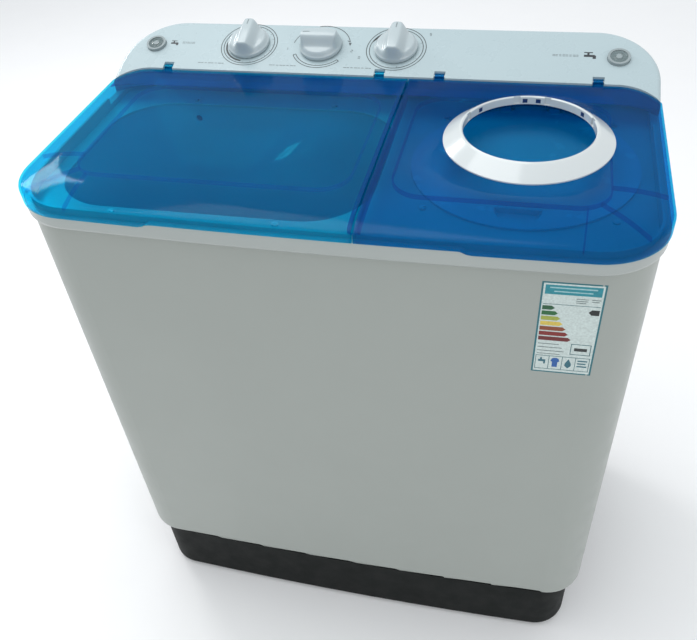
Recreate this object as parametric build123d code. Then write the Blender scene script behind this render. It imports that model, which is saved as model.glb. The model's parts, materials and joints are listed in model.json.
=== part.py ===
from build123d import *
import os
from math import atan2, cos, degrees, hypot, pi, radians, sin, sqrt

# Twin tub washer. Millimetres, +Z up, front towards -Y, origin on the floor at the centre of the footprint.
# The wash tub is on the -X side and the spinner on the +X side.

# ---------------------------------------------------------------- overall
WIDTH = 735.0  # across the lids, the widest part
DEPTH = 430.0  # from the bowed front of the lids to the back of the control panel
FRONT_BOW = 8.0  # how far the front bulges at its middle
LID_CORNER_R = 78.0  # front corners of the lids, in plan
SEAT = 0.3  # gap between curved faces that seat on each other
FIT = 0.4  # gap between plastic pieces that plug together
RUN = 0.06  # radial clearance of a shaft or pin that turns in its bore

HALF_W = WIDTH / 2
FRONT_Y = -DEPTH / 2 + FRONT_BOW  # the front line at the corners
BACK_Y = DEPTH / 2

# ---------------------------------------------------------------- base and feet
FOOT_H = 4.0
FOOT_R = 22.0
FOOT_STEM_R = 6.0
FOOT_HEAD_R = 9.0
FOOT_INSET = 75.0  # from the corners of the lids' outline
BASE_H = 108.0  # visible height of the base
BASE_INSET = 21.5
BASE_FRONT_INSET = 17.0
BASE_WALL = 3.0
BASE_FLOOR = 4.0
BASE_CORNER_R = 52.0
BASE_BACK_R = 30.0
BASE_TOE_R = 9.0  # rounding of the lower outer edge
LIP_H = 12.0  # lip of the base inside the cabinet
BASE_BACK_INSET = 10.0

# ---------------------------------------------------------------- cabinet and top deck
COLLAR_BOTTOM = 752.0
COLLAR_H = 18.0
COLLAR_RAISE = 4.0  # the middle of the collar's front is higher
RAISE_LEFT = -178.0
RAISE_RIGHT = 160.0
RAISE_SLANT = 9.0
COLLAR_INSET = 1.6
COLLAR_WALL = 3.0
COLLAR_BACK = 3.0  # the collar stands this far behind the cabinet
COLLAR_TOE_R = 6.0
CAB_INSET = 7.0
CAB_FRONT_INSET = 13.0
CAB_WALL = 3.0
CAB_CORNER_R = 58.0
CAB_BACK_R = 30.0
CAB_HEM_R = 11.0  # rounding of the lower outer edge
CAB_BACK_INSET = 4.5
RIM_INSET = 9.0  # the rim stands inside the lids' skirts
RIM_H = 9.0
DECK_DROP = 7.0  # the deck's surface lies below the collar's edge
DECK_T = 3.0
SERVICE_W = 500.0
SERVICE_H = 420.0
SERVICE_Z = 160.0
COVER_LAP = 14.0
COVER_T = 1.6
LOUVRE_W = 60.0
LOUVRE_H = 5.0
LOUVRE_ROWS = 9
LOUVRE_PITCH = 16.0
LOUVRE_RISE = 70.0
LOUVRE_GAP = 25.0
COVER_SCREW_L = 10.0
SCREW_R = 2.0
SCREW_HEAD_R = 4.0
SCREW_HEAD_H = 1.8

# ---------------------------------------------------------------- lids
SKIRT_H = 17.0
CROWN_H = 7.0  # rise of the lids' top from its fold to its flat middle
CROWN_W = 56.0
LID_T = 2.6
LID_GAP = 0.5  # between the skirt and the collar's edge
SEAM_GAP = 1.6
SEAM_SHIFT = 3.0  # the seam lies over the wall of the wash tub
SEAM_WALL_H = 13.0
LID_RIB_INSET = 62.0
LID_RIB_T = 1.6
LID_RIB_H = 5.0
LID_RIB_R = 36.0

# ---------------------------------------------------------------- ring and window of the spin lid
RING_R = 96.0
RING_CREST_R = 74.0
RING_H = 15.5
RING_WALL = 2.4
RING_THROAT_H = 10.0  # inner wall of the ring, from its crest down
WINDOW_DROP = 8.0
RING_SHIFT_X = 2.0
RING_SHIFT_Y = 5.0
CLIP_W = 8.0
CLIP_ANGLES = (20.0, 76.0, 104.0, 160.0, 270.0)

# ---------------------------------------------------------------- control panel
PANEL_DEPTH = 92.0
PANEL_RISE = 26.0  # height of its front line above the collar
PANEL_SLOPE = 18.5
PANEL_WALL = 3.0
PANEL_INSET = 1.5
PANEL_EAR_R = 64.5  # the panel sweeps forward round the lids' rear corners
PANEL_EAR_W = 51.0
PANEL_BACK_R = 80.0
PANEL_EDGE_R = 5.0
PANEL_GAP = 1.5

# ---------------------------------------------------------------- knobs, timers and water inlets
KNOB_R = 29.5
KNOB_H = 26.0
KNOB_TOP_R = 25.0
KNOB_GRIP = 16.0  # thickness of the grip across the knob
KNOB_SKIRT = 6.0
KNOB_SCOOP_Z = 17.0
KNOB_SCOOP_TILT = 14.0
KNOB_GAP = 0.8
KNOB_TURNS = (0.0, 90.0, 0.0)  # how each grip lies at rest
KNOB_WALL = 2.5
KNOB_PITCH = 105.0
KNOB_FIRST = 184.5  # from the wash side's end of the panel
KNOB_UP = 51.5  # along the slope, from the panel's front line
SHAFT_R = 3.0
SHAFT_HOLE_R = 6.5
TIMER_R = 26.0
TIMER_H = 20.0
TIMER_NECK_H = 3.0
INLET_R = 14.0
INLET_SOCKET_H = 24.0
INLET_CAP_H = 3.0
INLET_SIDE = 45.0
INLET_SPIN_SIDE = 53.0
INLET_UP = 46.0
PIPE_R = 6.5
PIPE_BORE_R = 5.0
PIPE_BEND_R = 15.0
PIPE_LEAD = 12.0  # a pipe's first stretch, in line with its socket
PIPE_DROP = 21.0  # depth of the pipes' level stretch below the deck
SPRAY_SIDE = 18.0  # the wash pipe enters this far past the tub's rounded corner

# ---------------------------------------------------------------- tubs
TUB_WALL = 3.0
TUB_GAP = 13.0  # between the two tubs
SPIN_BACK_GAP = 10.0
SPIN_FRONT_GAP = 44.0
SPIN_SIDE_GAP = 14.5
WASH_SIDE = 27.5
WASH_FRONT = 35.0
WASH_BACK = 34.0
WASH_TUB_R = 80.0
WASH_FLOOR = 334.0
WASH_TOE_R = 22.0
SPIN_FLOOR = 304.0
FLANGE_W = 9.0
FLANGE_T = 3.0
FLANGE_LIP = 3.0  # the deck's opening is smaller than the wash tub by this much
SPIN_LIP = 10.0  # and smaller than the spin tub by this much
TUB_SCREW_OUT = 6.0  # the tubs' screws, from the tubs' inner faces
TUB_SCREW_L = 12.0
FILTER_HALF_W = 55.0
FILTER_D = 16.0
FILTER_WALL = 3.0
FILTER_RISE = 40.0
FILTER_DROP = 60.0
FILTER_SLOTS = 9
FILTER_PITCH = 38.0

# ---------------------------------------------------------------- wash drive
PULSATOR_R = 104.0
PULSATOR_H = 9.0
PULSATOR_VANES = 5
VANE_H = 22.0
PULSATOR_GAP = 1.2
WELL_DEPTH = 12.0  # the recess that holds the pulsator
DRIVE_SHAFT_R = 7.0
BUSH_R = 11.0
BUSH_H = 16.0
HOUSING_R = 17.0
HOUSING_FLANGE_R = 42.0
HOUSING_FLANGE_T = 5.0
HOUSING_LEN = 78.0
PULLEY_R = 78.0
MOTOR_PULLEY_R = 24.0
PULLEY_H = 14.0
PULLEY_DROP = 8.0  # below the motor plate
PULLEY_SPOKES = 5
PULLEY_HOLE_R = 13.0
GROOVE_FLOOR = 3.0  # half the width of the groove's floor
SHAFT_END = 6.0  # the shafts stand this far below the pulleys
GROOVE_D = 5.0
BELT_W = 5.4
BELT_T = 5.0
MOTOR_R = 56.0
MOTOR_H = 76.0
MOTOR_SHAFT_R = 6.0
MOTOR_SIDE_GAP = 10.0
MOTOR_BACK_REACH = 12.0
PLATE_T = 3.0
PLATE_DROP = 94.0  # the motor plate lies this far under the wash tub
POST_R = 8.0
BOLT_R = 3.0
BOLT_HEAD_R = 6.5
BOLT_HEAD_H = 4.0

# ---------------------------------------------------------------- spin drive
BASKET_GAP = 16.0
BASKET_WALL = 2.0
BASKET_FLOOR_GAP = 12.0
BASKET_FLOOR_T = 4.0
BASKET_TOP_GAP = 22.0
BASKET_RING_H = 14.0
BASKET_RING_IN = 14.0
BASKET_HUB_R = 24.0
BASKET_HUB_H = 34.0
BASKET_ROWS = 6
BASKET_HOLES = 18
BASKET_HOLE_R = 3.0
BASKET_HOLES_UP = 50.0
BASKET_HOLES_DOWN = 40.0
SPIN_SHAFT_R = 6.0
BELLOWS_R = 36.0
BELLOWS_H = 26.0
SPIN_WELL_R = 28.0  # opening in the spin tub's floor
SPIN_MOTOR_R = 60.0
SPIN_MOTOR_H = 84.0
SPIN_PLATE_R = 96.0
DAMPER_R = 16.0
DAMPER_H = 52.0
DAMPER_SINK = 4.0
DAMPER_COILS = 4
DAMPER_WAIST = 4.0
DAMPER_CIRCLE = 78.0
DAMPER_BOSS_H = 36.0
DRUM_R = 42.0
DRUM_H = 24.0
DRUM_WALL = 4.0
DRUM_GAP = 12.0  # above the motor's cover
BRAKE_T = 6.0
BRAKE_H = 14.0
BRAKE_PIVOT_R = 3.0
BRAKE_GAP = 3.4
BRAKE_SIDE = 13.0
BRAKE_FRONT = 24.0
BRAKE_RISE = 5.0
BRAKE_EYE_R = 6.0
BRAKE_ARM = 62.0
ROTOR_SHARE = 0.58  # of the motor's radius
ROTOR_END = 12.0
MOTOR_END_T = 5.0
BEARING_R = 15.0
BEARING_H = 7.0

# ---------------------------------------------------------------- drain
DRAIN_SIDE = 30.0
DRAIN_BACK = 49.0
DRAIN_BORE_R = 12.0
VALVE_R = 19.0
VALVE_H = 70.0
VALVE_SEAT_DROP = 32.0
BRANCH_DROP = 52.0
NOZZLE_H = 14.0
VALVE_WALL = 3.0
VALVE_BORE_R = 8.0
PLUG_R = 12.0
PLUG_H = 12.0
SPIN_DRAIN_SIDE = 32.0
STEM_R = 3.5
HOSE_R = 14.0
HOSE_T = 2.0
HOSE_BEND_R = 45.0
SPIN_HOSE_BEND_R = 18.0
OUTLET_R = 12.0
OUTLET_Z = 44.0
OUTLET_BACK = 95.0
OUTLET_FLANGE = 6.0
OUTLET_L = 18.0
OUTLET_BORE_R = 7.0

# ---------------------------------------------------------------- electrics
CAP_R = 20.0
CAP_H = 62.0
CAP_SIDE = 10.0  # from the seam
CAP_FRONT = 35.0  # in front of the spinner's axis
CAP_SEAT_H = 14.0
GLAND_SIDE = 162.5
GLAND_R = 8.0
GLAND_BORE_R = 4.0
GLAND_Z = 52.0

# ---------------------------------------------------------------- worked out heights
BASE_INSIDE = FOOT_H + BASE_FLOOR
DAMPER_SEAT = BASE_INSIDE + DAMPER_BOSS_H
BASE_TOP = FOOT_H + BASE_H
COLLAR_TOP = COLLAR_BOTTOM + COLLAR_H
DECK_TOP = COLLAR_TOP - DECK_DROP
DECK_UNDER = DECK_TOP - DECK_T
LID_BOTTOM = COLLAR_TOP + LID_GAP
LID_FOLD = LID_BOTTOM + SKIRT_H
LID_TOP = LID_FOLD + CROWN_H
PANEL_FRONT_Z = COLLAR_TOP + PANEL_RISE
HOUSING_TOP = WASH_FLOOR - WELL_DEPTH
HOUSING_BOTTOM = HOUSING_TOP - HOUSING_LEN
PULSATOR_Z = HOUSING_TOP + PULSATOR_GAP + 2
PLATE_TOP = WASH_FLOOR - TUB_WALL - PLATE_DROP
PLATE_BOTTOM = PLATE_TOP - PLATE_T
PULLEY_TOP = PLATE_BOTTOM - PULLEY_DROP
PULLEY_BOTTOM = PULLEY_TOP - PULLEY_H
PULLEY_MID = PULLEY_TOP - PULLEY_H / 2
SHAFT_LOW = PULLEY_BOTTOM - SHAFT_END
SPIN_PLATE_Z = DAMPER_SEAT - DAMPER_SINK + DAMPER_H
SPIN_MOTOR_Z = SPIN_PLATE_Z + PLATE_T
SPIN_MOTOR_TOP = SPIN_MOTOR_Z + SPIN_MOTOR_H
DRUM_Z = SPIN_MOTOR_TOP + DRUM_GAP
BASKET_Z = SPIN_FLOOR + BASKET_FLOOR_GAP
BASKET_TOP = DECK_UNDER - BASKET_TOP_GAP
BEARING_Z = SPIN_FLOOR - TUB_WALL - BELLOWS_H
BRAKE_Z = DRUM_Z + BRAKE_RISE
VALVE_TOP = WASH_FLOOR - WELL_DEPTH - TUB_WALL
VALVE_BOTTOM = VALVE_TOP - VALVE_H
VALVE_SEAT_Z = VALVE_TOP - VALVE_SEAT_DROP
PIPE_Z = DECK_UNDER - PIPE_DROP

# ---------------------------------------------------------------- worked out places
PANEL_FRONT_Y = BACK_Y - PANEL_DEPTH
CAB_BACK_Y = BACK_Y - CAB_BACK_INSET
BASE_BACK_Y = BACK_Y - BASE_BACK_INSET
SPIN_TUB_R = (PANEL_FRONT_Y - FRONT_Y - SPIN_BACK_GAP - SPIN_FRONT_GAP) / 2
SPIN_X = HALF_W - SPIN_SIDE_GAP - TUB_WALL - SPIN_TUB_R
SPIN_Y = PANEL_FRONT_Y - SPIN_BACK_GAP - SPIN_TUB_R
WASH_X0 = -HALF_W + WASH_SIDE
WASH_X1 = SPIN_X - SPIN_TUB_R - 2 * TUB_WALL - TUB_GAP
WASH_Y0 = FRONT_Y + WASH_FRONT
WASH_Y1 = PANEL_FRONT_Y - WASH_BACK
WASH_X = (WASH_X0 + WASH_X1) / 2
WASH_Y = (WASH_Y0 + WASH_Y1) / 2
SEAM_X = WASH_X1 - SEAM_SHIFT
RING_X = SPIN_X + RING_SHIFT_X
RING_Y = SPIN_Y + RING_SHIFT_Y
MOTOR_X = WASH_X0 + MOTOR_R + MOTOR_SIDE_GAP
MOTOR_Y = WASH_Y1 - MOTOR_R + MOTOR_BACK_REACH
CAP_X = SEAM_X + CAP_SIDE
CAP_Y = SPIN_Y - CAP_FRONT
GLAND_X = HALF_W - GLAND_SIDE
DRAIN_X = WASH_X1 - DRAIN_SIDE
DRAIN_Y = WASH_Y1 - DRAIN_BACK
SPIN_DRAIN_X = SPIN_X - SPIN_TUB_R + SPIN_DRAIN_SIDE
SPRAY_X = WASH_X0 + WASH_TUB_R + SPRAY_SIDE
BASKET_R = SPIN_TUB_R - BASKET_GAP
BRAKE_X = SPIN_X + DRUM_R + BRAKE_SIDE
BRAKE_Y = SPIN_Y - BRAKE_FRONT
OUTLET_X = -HALF_W + BASE_INSET
OUTLET_Y = BACK_Y - OUTLET_BACK
PANEL = Plane(
    origin=(0, PANEL_FRONT_Y, PANEL_FRONT_Z),
    x_dir=(1, 0, 0),
    z_dir=(0, -sin(radians(PANEL_SLOPE)), cos(radians(PANEL_SLOPE))),
)
KNOB_XS = [-HALF_W + KNOB_FIRST + KNOB_PITCH * i for i in range(3)]

# ---------------------------------------------------------------- hinges
HINGE_BACK = 7.0  # the lids' axis lies behind the panel's front line
HINGE_RISE = 0.5  # and above the lids' top
HINGE_Y = PANEL_FRONT_Y + HINGE_BACK
HINGE_Z = LID_TOP + HINGE_RISE
PIN_R = 1.6
EYE_R = 3.6
LUG_W = 12.0
LUG_GAP = 1.2
LUG_T = 3.2
PIN_SEAT = 6.0
HINGE_BLOCK_W = 8.0
LUG_END_INSET = 76.0
LUG_SEAM_INSET = 40.0
WASH_LUGS = (-HALF_W + LUG_END_INSET, SEAM_X - LUG_SEAM_INSET)
SPIN_LUGS = (SEAM_X + LUG_SEAM_INSET, HALF_W - LUG_END_INSET)

# ---------------------------------------------------------------- safety lid of the spinner
INNER_LID_R = SPIN_TUB_R - SPIN_LIP + 2.0
INNER_LID_T = 2.5
INNER_LID_RIM_H = 5.0
INNER_HINGE_RISE = 4.5  # its axis above the deck
INNER_LUG_SPACING = 60.0
TAB_R = 28.0  # finger recess
TAB_BACK = 36.0
INNER_HINGE_Y = SPIN_Y + INNER_LID_R + 5.0

FAR = 2000.0


def box(x0, x1, y0, y1, z0, z1):
    """A block given by its lowest and highest corners."""
    return Pos((x0 + x1) / 2, (y0 + y1) / 2, (z0 + z1) / 2) * Box(x1 - x0, y1 - y0, z1 - z0)


def post(x, y, z0, z1, r):
    """An upright cylinder from z0 to z1."""
    return Pos(x, y, (z0 + z1) / 2) * Cylinder(r, z1 - z0)


def tube(x, y, z0, z1, r_out, r_in):
    return post(x, y, z0, z1, r_out) - post(x, y, z0 - 1, z1 + 1, r_in)


def cone(x, y, z0, z1, r0, r1):
    return Pos(x, y, (z0 + z1) / 2) * Cone(r0, r1, z1 - z0)


def bar(x, y, z, length, r):
    """A round bar along X, centred at x."""
    return Pos(x, y, z) * Rot(0, 90, 0) * Cylinder(r, length)


def outline(x0, x1, y0, y1, r_front, r_rear, bow=0.0):
    """Plan outline with rounded corners and a front that bows out, as a sketch at z = 0."""
    if bow:
        front = ThreePointArc((x0, y0), ((x0 + x1) / 2, y0 - bow), (x1, y0))
    else:
        front = Line((x0, y0), (x1, y0))
    sides = [Line((x1, y0), (x1, y1)), Line((x1, y1), (x0, y1)), Line((x0, y1), (x0, y0))]
    face = make_face([front, *sides])
    face = fillet(face.vertices().sort_by(Axis.Y)[:2], r_front)
    return fillet(face.vertices().sort_by(Axis.Y)[-2:], r_rear)


def slab(face, z0, z1):
    return Pos(0, 0, z0) * extrude(face, z1 - z0)


def ring_of(x, y, r, count, start=0.0):
    """Points spaced evenly on a circle."""
    step = 2 * pi / count
    return [(x + r * cos(start + step * i), y + r * sin(start + step * i)) for i in range(count)]


def revolved(x, y, points):
    """A turned piece, from its half section as (radius, height) points."""
    face = make_face(Polyline(*[(r, 0, z) for r, z in points], close=True))
    return Pos(x, y, 0) * revolve(face, Axis.Z)


def joined(shapes):
    shapes = list(shapes)
    return shapes[0].fuse(*shapes[1:]) if len(shapes) > 1 else shapes[0]


def save(node, *shapes):
    """Writes one node, and prints how many solids it has."""
    solids = [solid for shape in shapes for solid in shape.solids()]
    export_step(Compound(solids), f"parts/{node}.step")
    print(node, len(solids))


# ================================================================ casing


def lid_plan(inset=0.0, front_inset=None, back_y=None, r_front=LID_CORNER_R, r_rear=20.0):
    """The lids' outline moved inwards, continued behind them to back_y."""
    front_inset = inset if front_inset is None else front_inset
    back_y = BACK_Y - inset if back_y is None else back_y
    x = HALF_W - inset
    return outline(-x, x, FRONT_Y + front_inset, back_y, r_front - inset, r_rear, FRONT_BOW)


def cabinet_plan(grow=0.0):
    x = HALF_W - CAB_INSET + grow
    y0 = FRONT_Y + CAB_FRONT_INSET - grow
    return outline(-x, x, y0, CAB_BACK_Y + grow, CAB_CORNER_R + grow, CAB_BACK_R + grow, FRONT_BOW)


def base_plan(grow=0.0):
    x = HALF_W - BASE_INSET + grow
    y0 = FRONT_Y + BASE_FRONT_INSET - grow
    return outline(-x, x, y0, BASE_BACK_Y + grow, BASE_CORNER_R + grow, BASE_BACK_R + grow, FRONT_BOW)


def foot_places():
    x = HALF_W - FOOT_INSET
    return [(sx * x, y) for sx in (-1, 1) for y in (FRONT_Y + FOOT_INSET, BACK_Y - FOOT_INSET)]


def damper_places():
    return ring_of(SPIN_X, SPIN_Y, DAMPER_CIRCLE, 3, pi / 2)


def screw_places():
    x = SERVICE_W / 2 + COVER_LAP / 2
    z0 = SERVICE_Z - COVER_LAP / 2
    z1 = SERVICE_Z + SERVICE_H + COVER_LAP / 2
    return [(sx * x, z) for sx in (-1, 0, 1) for z in (z0, z1)]


def make_base():
    body = slab(base_plan(), FOOT_H, BASE_TOP)
    toe = body.faces().sort_by(Axis.Z)[0].edges()
    body = fillet(toe, BASE_TOE_R)
    inside = slab(base_plan(-BASE_WALL), BASE_INSIDE, BASE_TOP + 1)
    body -= fillet(inside.faces().sort_by(Axis.Z)[0].edges(), BASE_TOE_R - BASE_WALL)
    lip = slab(base_plan(-BASE_WALL), BASE_INSIDE + 1, BASE_TOP + LIP_H)
    lip -= slab(base_plan(-2 * BASE_WALL), BASE_INSIDE, BASE_TOP + LIP_H + 1)
    lip -= box(-FAR, FAR, -FAR, FAR, BASE_INSIDE, BASE_TOP - LIP_H)
    body += lip
    for x, y in damper_places():
        body += post(x, y, BASE_INSIDE - 1, DAMPER_SEAT, DAMPER_R + 4)
        body -= post(x, y, DAMPER_SEAT - DAMPER_SINK, DAMPER_SEAT + 1, DAMPER_R + SEAT)
    for x, y in foot_places():
        body -= post(x, y, FOOT_H - 1, BASE_INSIDE + 1, FOOT_STEM_R + SEAT)
    body += tube(CAP_X, CAP_Y, BASE_INSIDE - 1, BASE_INSIDE + CAP_SEAT_H, CAP_R + SEAT + 2, CAP_R + SEAT)
    body -= Pos(OUTLET_X, OUTLET_Y, OUTLET_Z) * Rot(0, 90, 0) * Cylinder(OUTLET_R + SEAT, 40)
    return body - Pos(GLAND_X, BASE_BACK_Y, GLAND_Z) * Rot(90, 0, 0) * Cylinder(GLAND_R + SEAT, 40)


def make_feet():
    feet = []
    for x, y in foot_places():
        foot = cone(x, y, 0, FOOT_H, FOOT_R, FOOT_R - 2)
        foot += post(x, y, FOOT_H - 1, BASE_INSIDE + 1, FOOT_STEM_R)
        foot += cone(x, y, BASE_INSIDE, BASE_INSIDE + 4, FOOT_HEAD_R, FOOT_STEM_R - 1)
        feet.append(foot)
    return feet


def make_cabinet():
    body = slab(cabinet_plan(), BASE_TOP, DECK_UNDER)
    hem = body.faces().sort_by(Axis.Z)[0].edges()
    body = fillet(hem, CAB_HEM_R)
    inside = slab(cabinet_plan(-CAB_WALL), BASE_TOP + CAB_WALL, DECK_UNDER + 1)
    body -= fillet(inside.faces().sort_by(Axis.Z)[0].edges(), CAB_HEM_R - CAB_WALL)
    body -= slab(base_plan(-BASE_WALL + FIT), BASE_TOP - 1, BASE_TOP + CAB_WALL + 1)
    x = SERVICE_W / 2
    body -= box(-x, x, CAB_BACK_Y - 20, CAB_BACK_Y + 20, SERVICE_Z, SERVICE_Z + SERVICE_H)
    for x, z in screw_places():
        body -= Pos(x, CAB_BACK_Y, z) * Rot(90, 0, 0) * Cylinder(SCREW_R + SEAT, 20)
    return body


def make_back_cover():
    x = SERVICE_W / 2 + COVER_LAP
    z0 = SERVICE_Z - COVER_LAP
    z1 = SERVICE_Z + SERVICE_H + COVER_LAP
    cover = box(-x, x, CAB_BACK_Y, CAB_BACK_Y + COVER_T, z0, z1)
    louvre = Box(LOUVRE_W, 10, LOUVRE_H)
    for row in range(LOUVRE_ROWS):
        z = SERVICE_Z + LOUVRE_RISE + LOUVRE_PITCH * row
        for col in (-1, 0, 1):
            cover -= Pos(col * (LOUVRE_W + LOUVRE_GAP), CAB_BACK_Y, z) * louvre
    for sx, z in screw_places():
        cover -= Pos(sx, CAB_BACK_Y, z) * Rot(90, 0, 0) * Cylinder(SCREW_R + SEAT, 20)
    return cover


def make_cover_screws():
    screws = []
    y = CAB_BACK_Y + COVER_T
    for x, z in screw_places():
        shank = Pos(x, y - COVER_SCREW_L / 2, z) * Rot(90, 0, 0) * Cylinder(SCREW_R, COVER_SCREW_L)
        head = Pos(x, y + SCREW_HEAD_H / 2, z) * Rot(90, 0, 0) * Cylinder(SCREW_HEAD_R, SCREW_HEAD_H)
        screws.append(shank + head)
    return screws


def front_raise(low, high, grow=0.0):
    """The stretch of the front where the collar is higher, with its slanted ends, as a block."""
    x0 = RAISE_LEFT - grow
    x1 = RAISE_RIGHT + grow
    points = [(x0 - RAISE_SLANT, low), (x1 + RAISE_SLANT, low), (x1, high), (x0, high)]
    face = make_face(Polyline(*[(x, FRONT_Y + 30, z) for x, z in points], close=True))
    return extrude(face, 30 + FRONT_BOW + 5, dir=(0, -1, 0))


def spin_opening(grow=0.0):
    return Pos(SPIN_X, SPIN_Y) * Circle(SPIN_TUB_R - SPIN_LIP + grow)


def wash_plan(grow=0.0):
    r = WASH_TUB_R + grow
    return outline(WASH_X0 - grow, WASH_X1 + grow, WASH_Y0 - grow, WASH_Y1 + grow, r, r)


def inlet_point(side):
    """Foot of a water inlet on the panel: -1 is the wash side, 1 the spin side."""
    x = -HALF_W + INLET_SIDE if side < 0 else HALF_W - INLET_SPIN_SIDE
    return PANEL.location * Location((x, INLET_UP, 0))


def pipe_start(side):
    """Where a water pipe leaves its inlet socket, square to the panel."""
    return tuple((inlet_point(side) * Pos(0, 0, 1 - INLET_SOCKET_H)).position)


def pipe_bend(side):
    """Where it turns straight down."""
    return tuple((inlet_point(side) * Pos(0, 0, 1 - INLET_SOCKET_H - PIPE_LEAD)).position)


def tub_screw_places():
    """Screws through the deck into the tubs' flanges."""
    x = (WASH_X1 - WASH_X0) / 4
    ys = (WASH_Y0 - TUB_SCREW_OUT, WASH_Y1 + TUB_SCREW_OUT)
    wash = [(WASH_X + sx * x, y) for sx in (-1, 1) for y in ys]
    return wash + ring_of(SPIN_X, SPIN_Y, SPIN_TUB_R + TUB_SCREW_OUT, 4, pi / 4)


def make_top_deck():
    collar_back = CAB_BACK_Y + COLLAR_BACK
    raised_top = COLLAR_TOP + COLLAR_RAISE
    body = slab(lid_plan(COLLAR_INSET, back_y=collar_back, r_rear=CAB_BACK_R), COLLAR_BOTTOM, raised_top)
    toe = body.faces().sort_by(Axis.Z)[0].edges()
    body = fillet(toe, COLLAR_TOE_R)
    body -= box(-FAR, FAR, -FAR, FAR, COLLAR_TOP, FAR) - front_raise(COLLAR_TOP - 1, raised_top + 1)
    rim = slab(lid_plan(RIM_INSET), COLLAR_TOP - 1, COLLAR_TOP + RIM_H)
    rim -= box(-FAR, FAR, PANEL_FRONT_Y - PANEL_EAR_R, FAR, 0, FAR)
    body += rim
    pocket_edge = RIM_INSET + COLLAR_WALL
    pocket_back = collar_back - COLLAR_WALL - 6
    body -= slab(lid_plan(pocket_edge, back_y=pocket_back), DECK_TOP, COLLAR_TOP + RIM_H + 1)
    under = slab(cabinet_plan(FIT), COLLAR_BOTTOM - 1, DECK_UNDER)
    body -= under
    body -= slab(spin_opening(), DECK_UNDER - 1, DECK_TOP + 1)
    body -= slab(wash_plan(-FLANGE_LIP), DECK_UNDER - 1, DECK_TOP + 1)
    for side in (-1, 1):
        x, y = pipe_bend(side)[:2]
        body -= post(x, y, DECK_UNDER - 1, DECK_TOP + 1, PIPE_R + SEAT)
    for x, y in tub_screw_places():
        body -= post(x, y, DECK_UNDER - 1, DECK_TOP + 1, SCREW_R + SEAT)
    return body


# ================================================================ tubs


def make_wash_tub():
    top = DECK_UNDER
    body = slab(wash_plan(TUB_WALL), WASH_FLOOR - TUB_WALL, top)
    body += slab(wash_plan(FLANGE_W), top - FLANGE_T, top)
    cavity = slab(wash_plan(), WASH_FLOOR, top + 1)
    cavity = fillet(cavity.faces().sort_by(Axis.Z)[0].edges(), WASH_TOE_R)
    well_r = PULSATOR_R + PULSATOR_GAP + 3
    body += post(WASH_X, WASH_Y, VALVE_TOP, WASH_FLOOR, well_r + TUB_WALL)
    body += post(DRAIN_X, DRAIN_Y, VALVE_TOP, WASH_FLOOR, VALVE_R)
    for x, y in plate_posts():
        body += post(x, y, PLATE_TOP, WASH_FLOOR - 1, POST_R)
    body -= cavity
    body -= Pos(SPRAY_X, WASH_Y1, PIPE_Z) * Rot(90, 0, 0) * Cylinder(PIPE_BORE_R, 20)
    for x, y in tub_screw_places()[:4]:
        body -= post(x, y, top - FLANGE_T - 1, top + 1, SCREW_R + SEAT)
    body -= post(WASH_X, WASH_Y, WASH_FLOOR - WELL_DEPTH, WASH_FLOOR + 1, well_r)
    body -= post(WASH_X, WASH_Y, WASH_FLOOR - 40, WASH_FLOOR, HOUSING_R + SEAT)
    body -= post(DRAIN_X, DRAIN_Y, WASH_FLOOR - 30, WASH_FLOOR + 1, DRAIN_BORE_R)
    for x, y in plate_posts():
        body -= post(x, y, PLATE_TOP - 1, PLATE_TOP + 20, BOLT_R + RUN)
    return body


def plate_posts():
    """Posts of the wash tub that carry the motor plate, beside the housing and beside the motor."""
    r = HOUSING_FLANGE_R + POST_R + 4
    near = [(WASH_X + r, WASH_Y), (WASH_X - 0.5 * r, WASH_Y - 0.87 * r)]
    out = MOTOR_R + POST_R + 4
    far = [(MOTOR_X - 0.2 * out, MOTOR_Y - 0.98 * out), (MOTOR_X + 0.98 * out, MOTOR_Y + 0.2 * out)]
    return near + far


def make_spin_tub():
    top = DECK_UNDER
    r = SPIN_TUB_R
    body = post(SPIN_X, SPIN_Y, SPIN_FLOOR - TUB_WALL, top, r + TUB_WALL)
    side = HALF_W - CAB_INSET - CAB_WALL - 1
    body += post(SPIN_X, SPIN_Y, top - FLANGE_T, top, r + FLANGE_W) & box(-FAR, side, -FAR, FAR, 0, FAR)
    for x, y in tub_screw_places()[4:]:
        body -= post(x, y, top - FLANGE_T - 1, top + 1, SCREW_R + SEAT)
    body -= post(SPIN_X, SPIN_Y, SPIN_FLOOR, top + 1, r)
    body -= post(SPIN_X, SPIN_Y, SPIN_FLOOR - 10, SPIN_FLOOR + 1, SPIN_WELL_R)
    turn = degrees(atan2(pipe_bend(1)[1] - SPIN_Y, pipe_bend(1)[0] - SPIN_X))
    spray = Rot(0, 90, 0) * Cylinder(PIPE_BORE_R, 20)
    body -= Pos(SPIN_X, SPIN_Y, PIPE_Z) * Rot(0, 0, turn) * Pos(r, 0, 0) * spray
    spigot_r = HOSE_R - HOSE_T - SEAT
    body += tube(SPIN_DRAIN_X, DRAIN_Y, SPIN_FLOOR - 16, SPIN_FLOOR - 1, spigot_r, VALVE_BORE_R)
    body -= post(SPIN_DRAIN_X, DRAIN_Y, SPIN_FLOOR - 5, SPIN_FLOOR + 1, VALVE_BORE_R)
    return body


def make_tub_screws():
    """Screws that hold the tubs under the deck."""
    screws = []
    for x, y in tub_screw_places():
        shank = post(x, y, DECK_TOP - TUB_SCREW_L, DECK_TOP, SCREW_R)
        screws.append(shank + post(x, y, DECK_TOP, DECK_TOP + SCREW_HEAD_H, SCREW_HEAD_R))
    return screws


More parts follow.
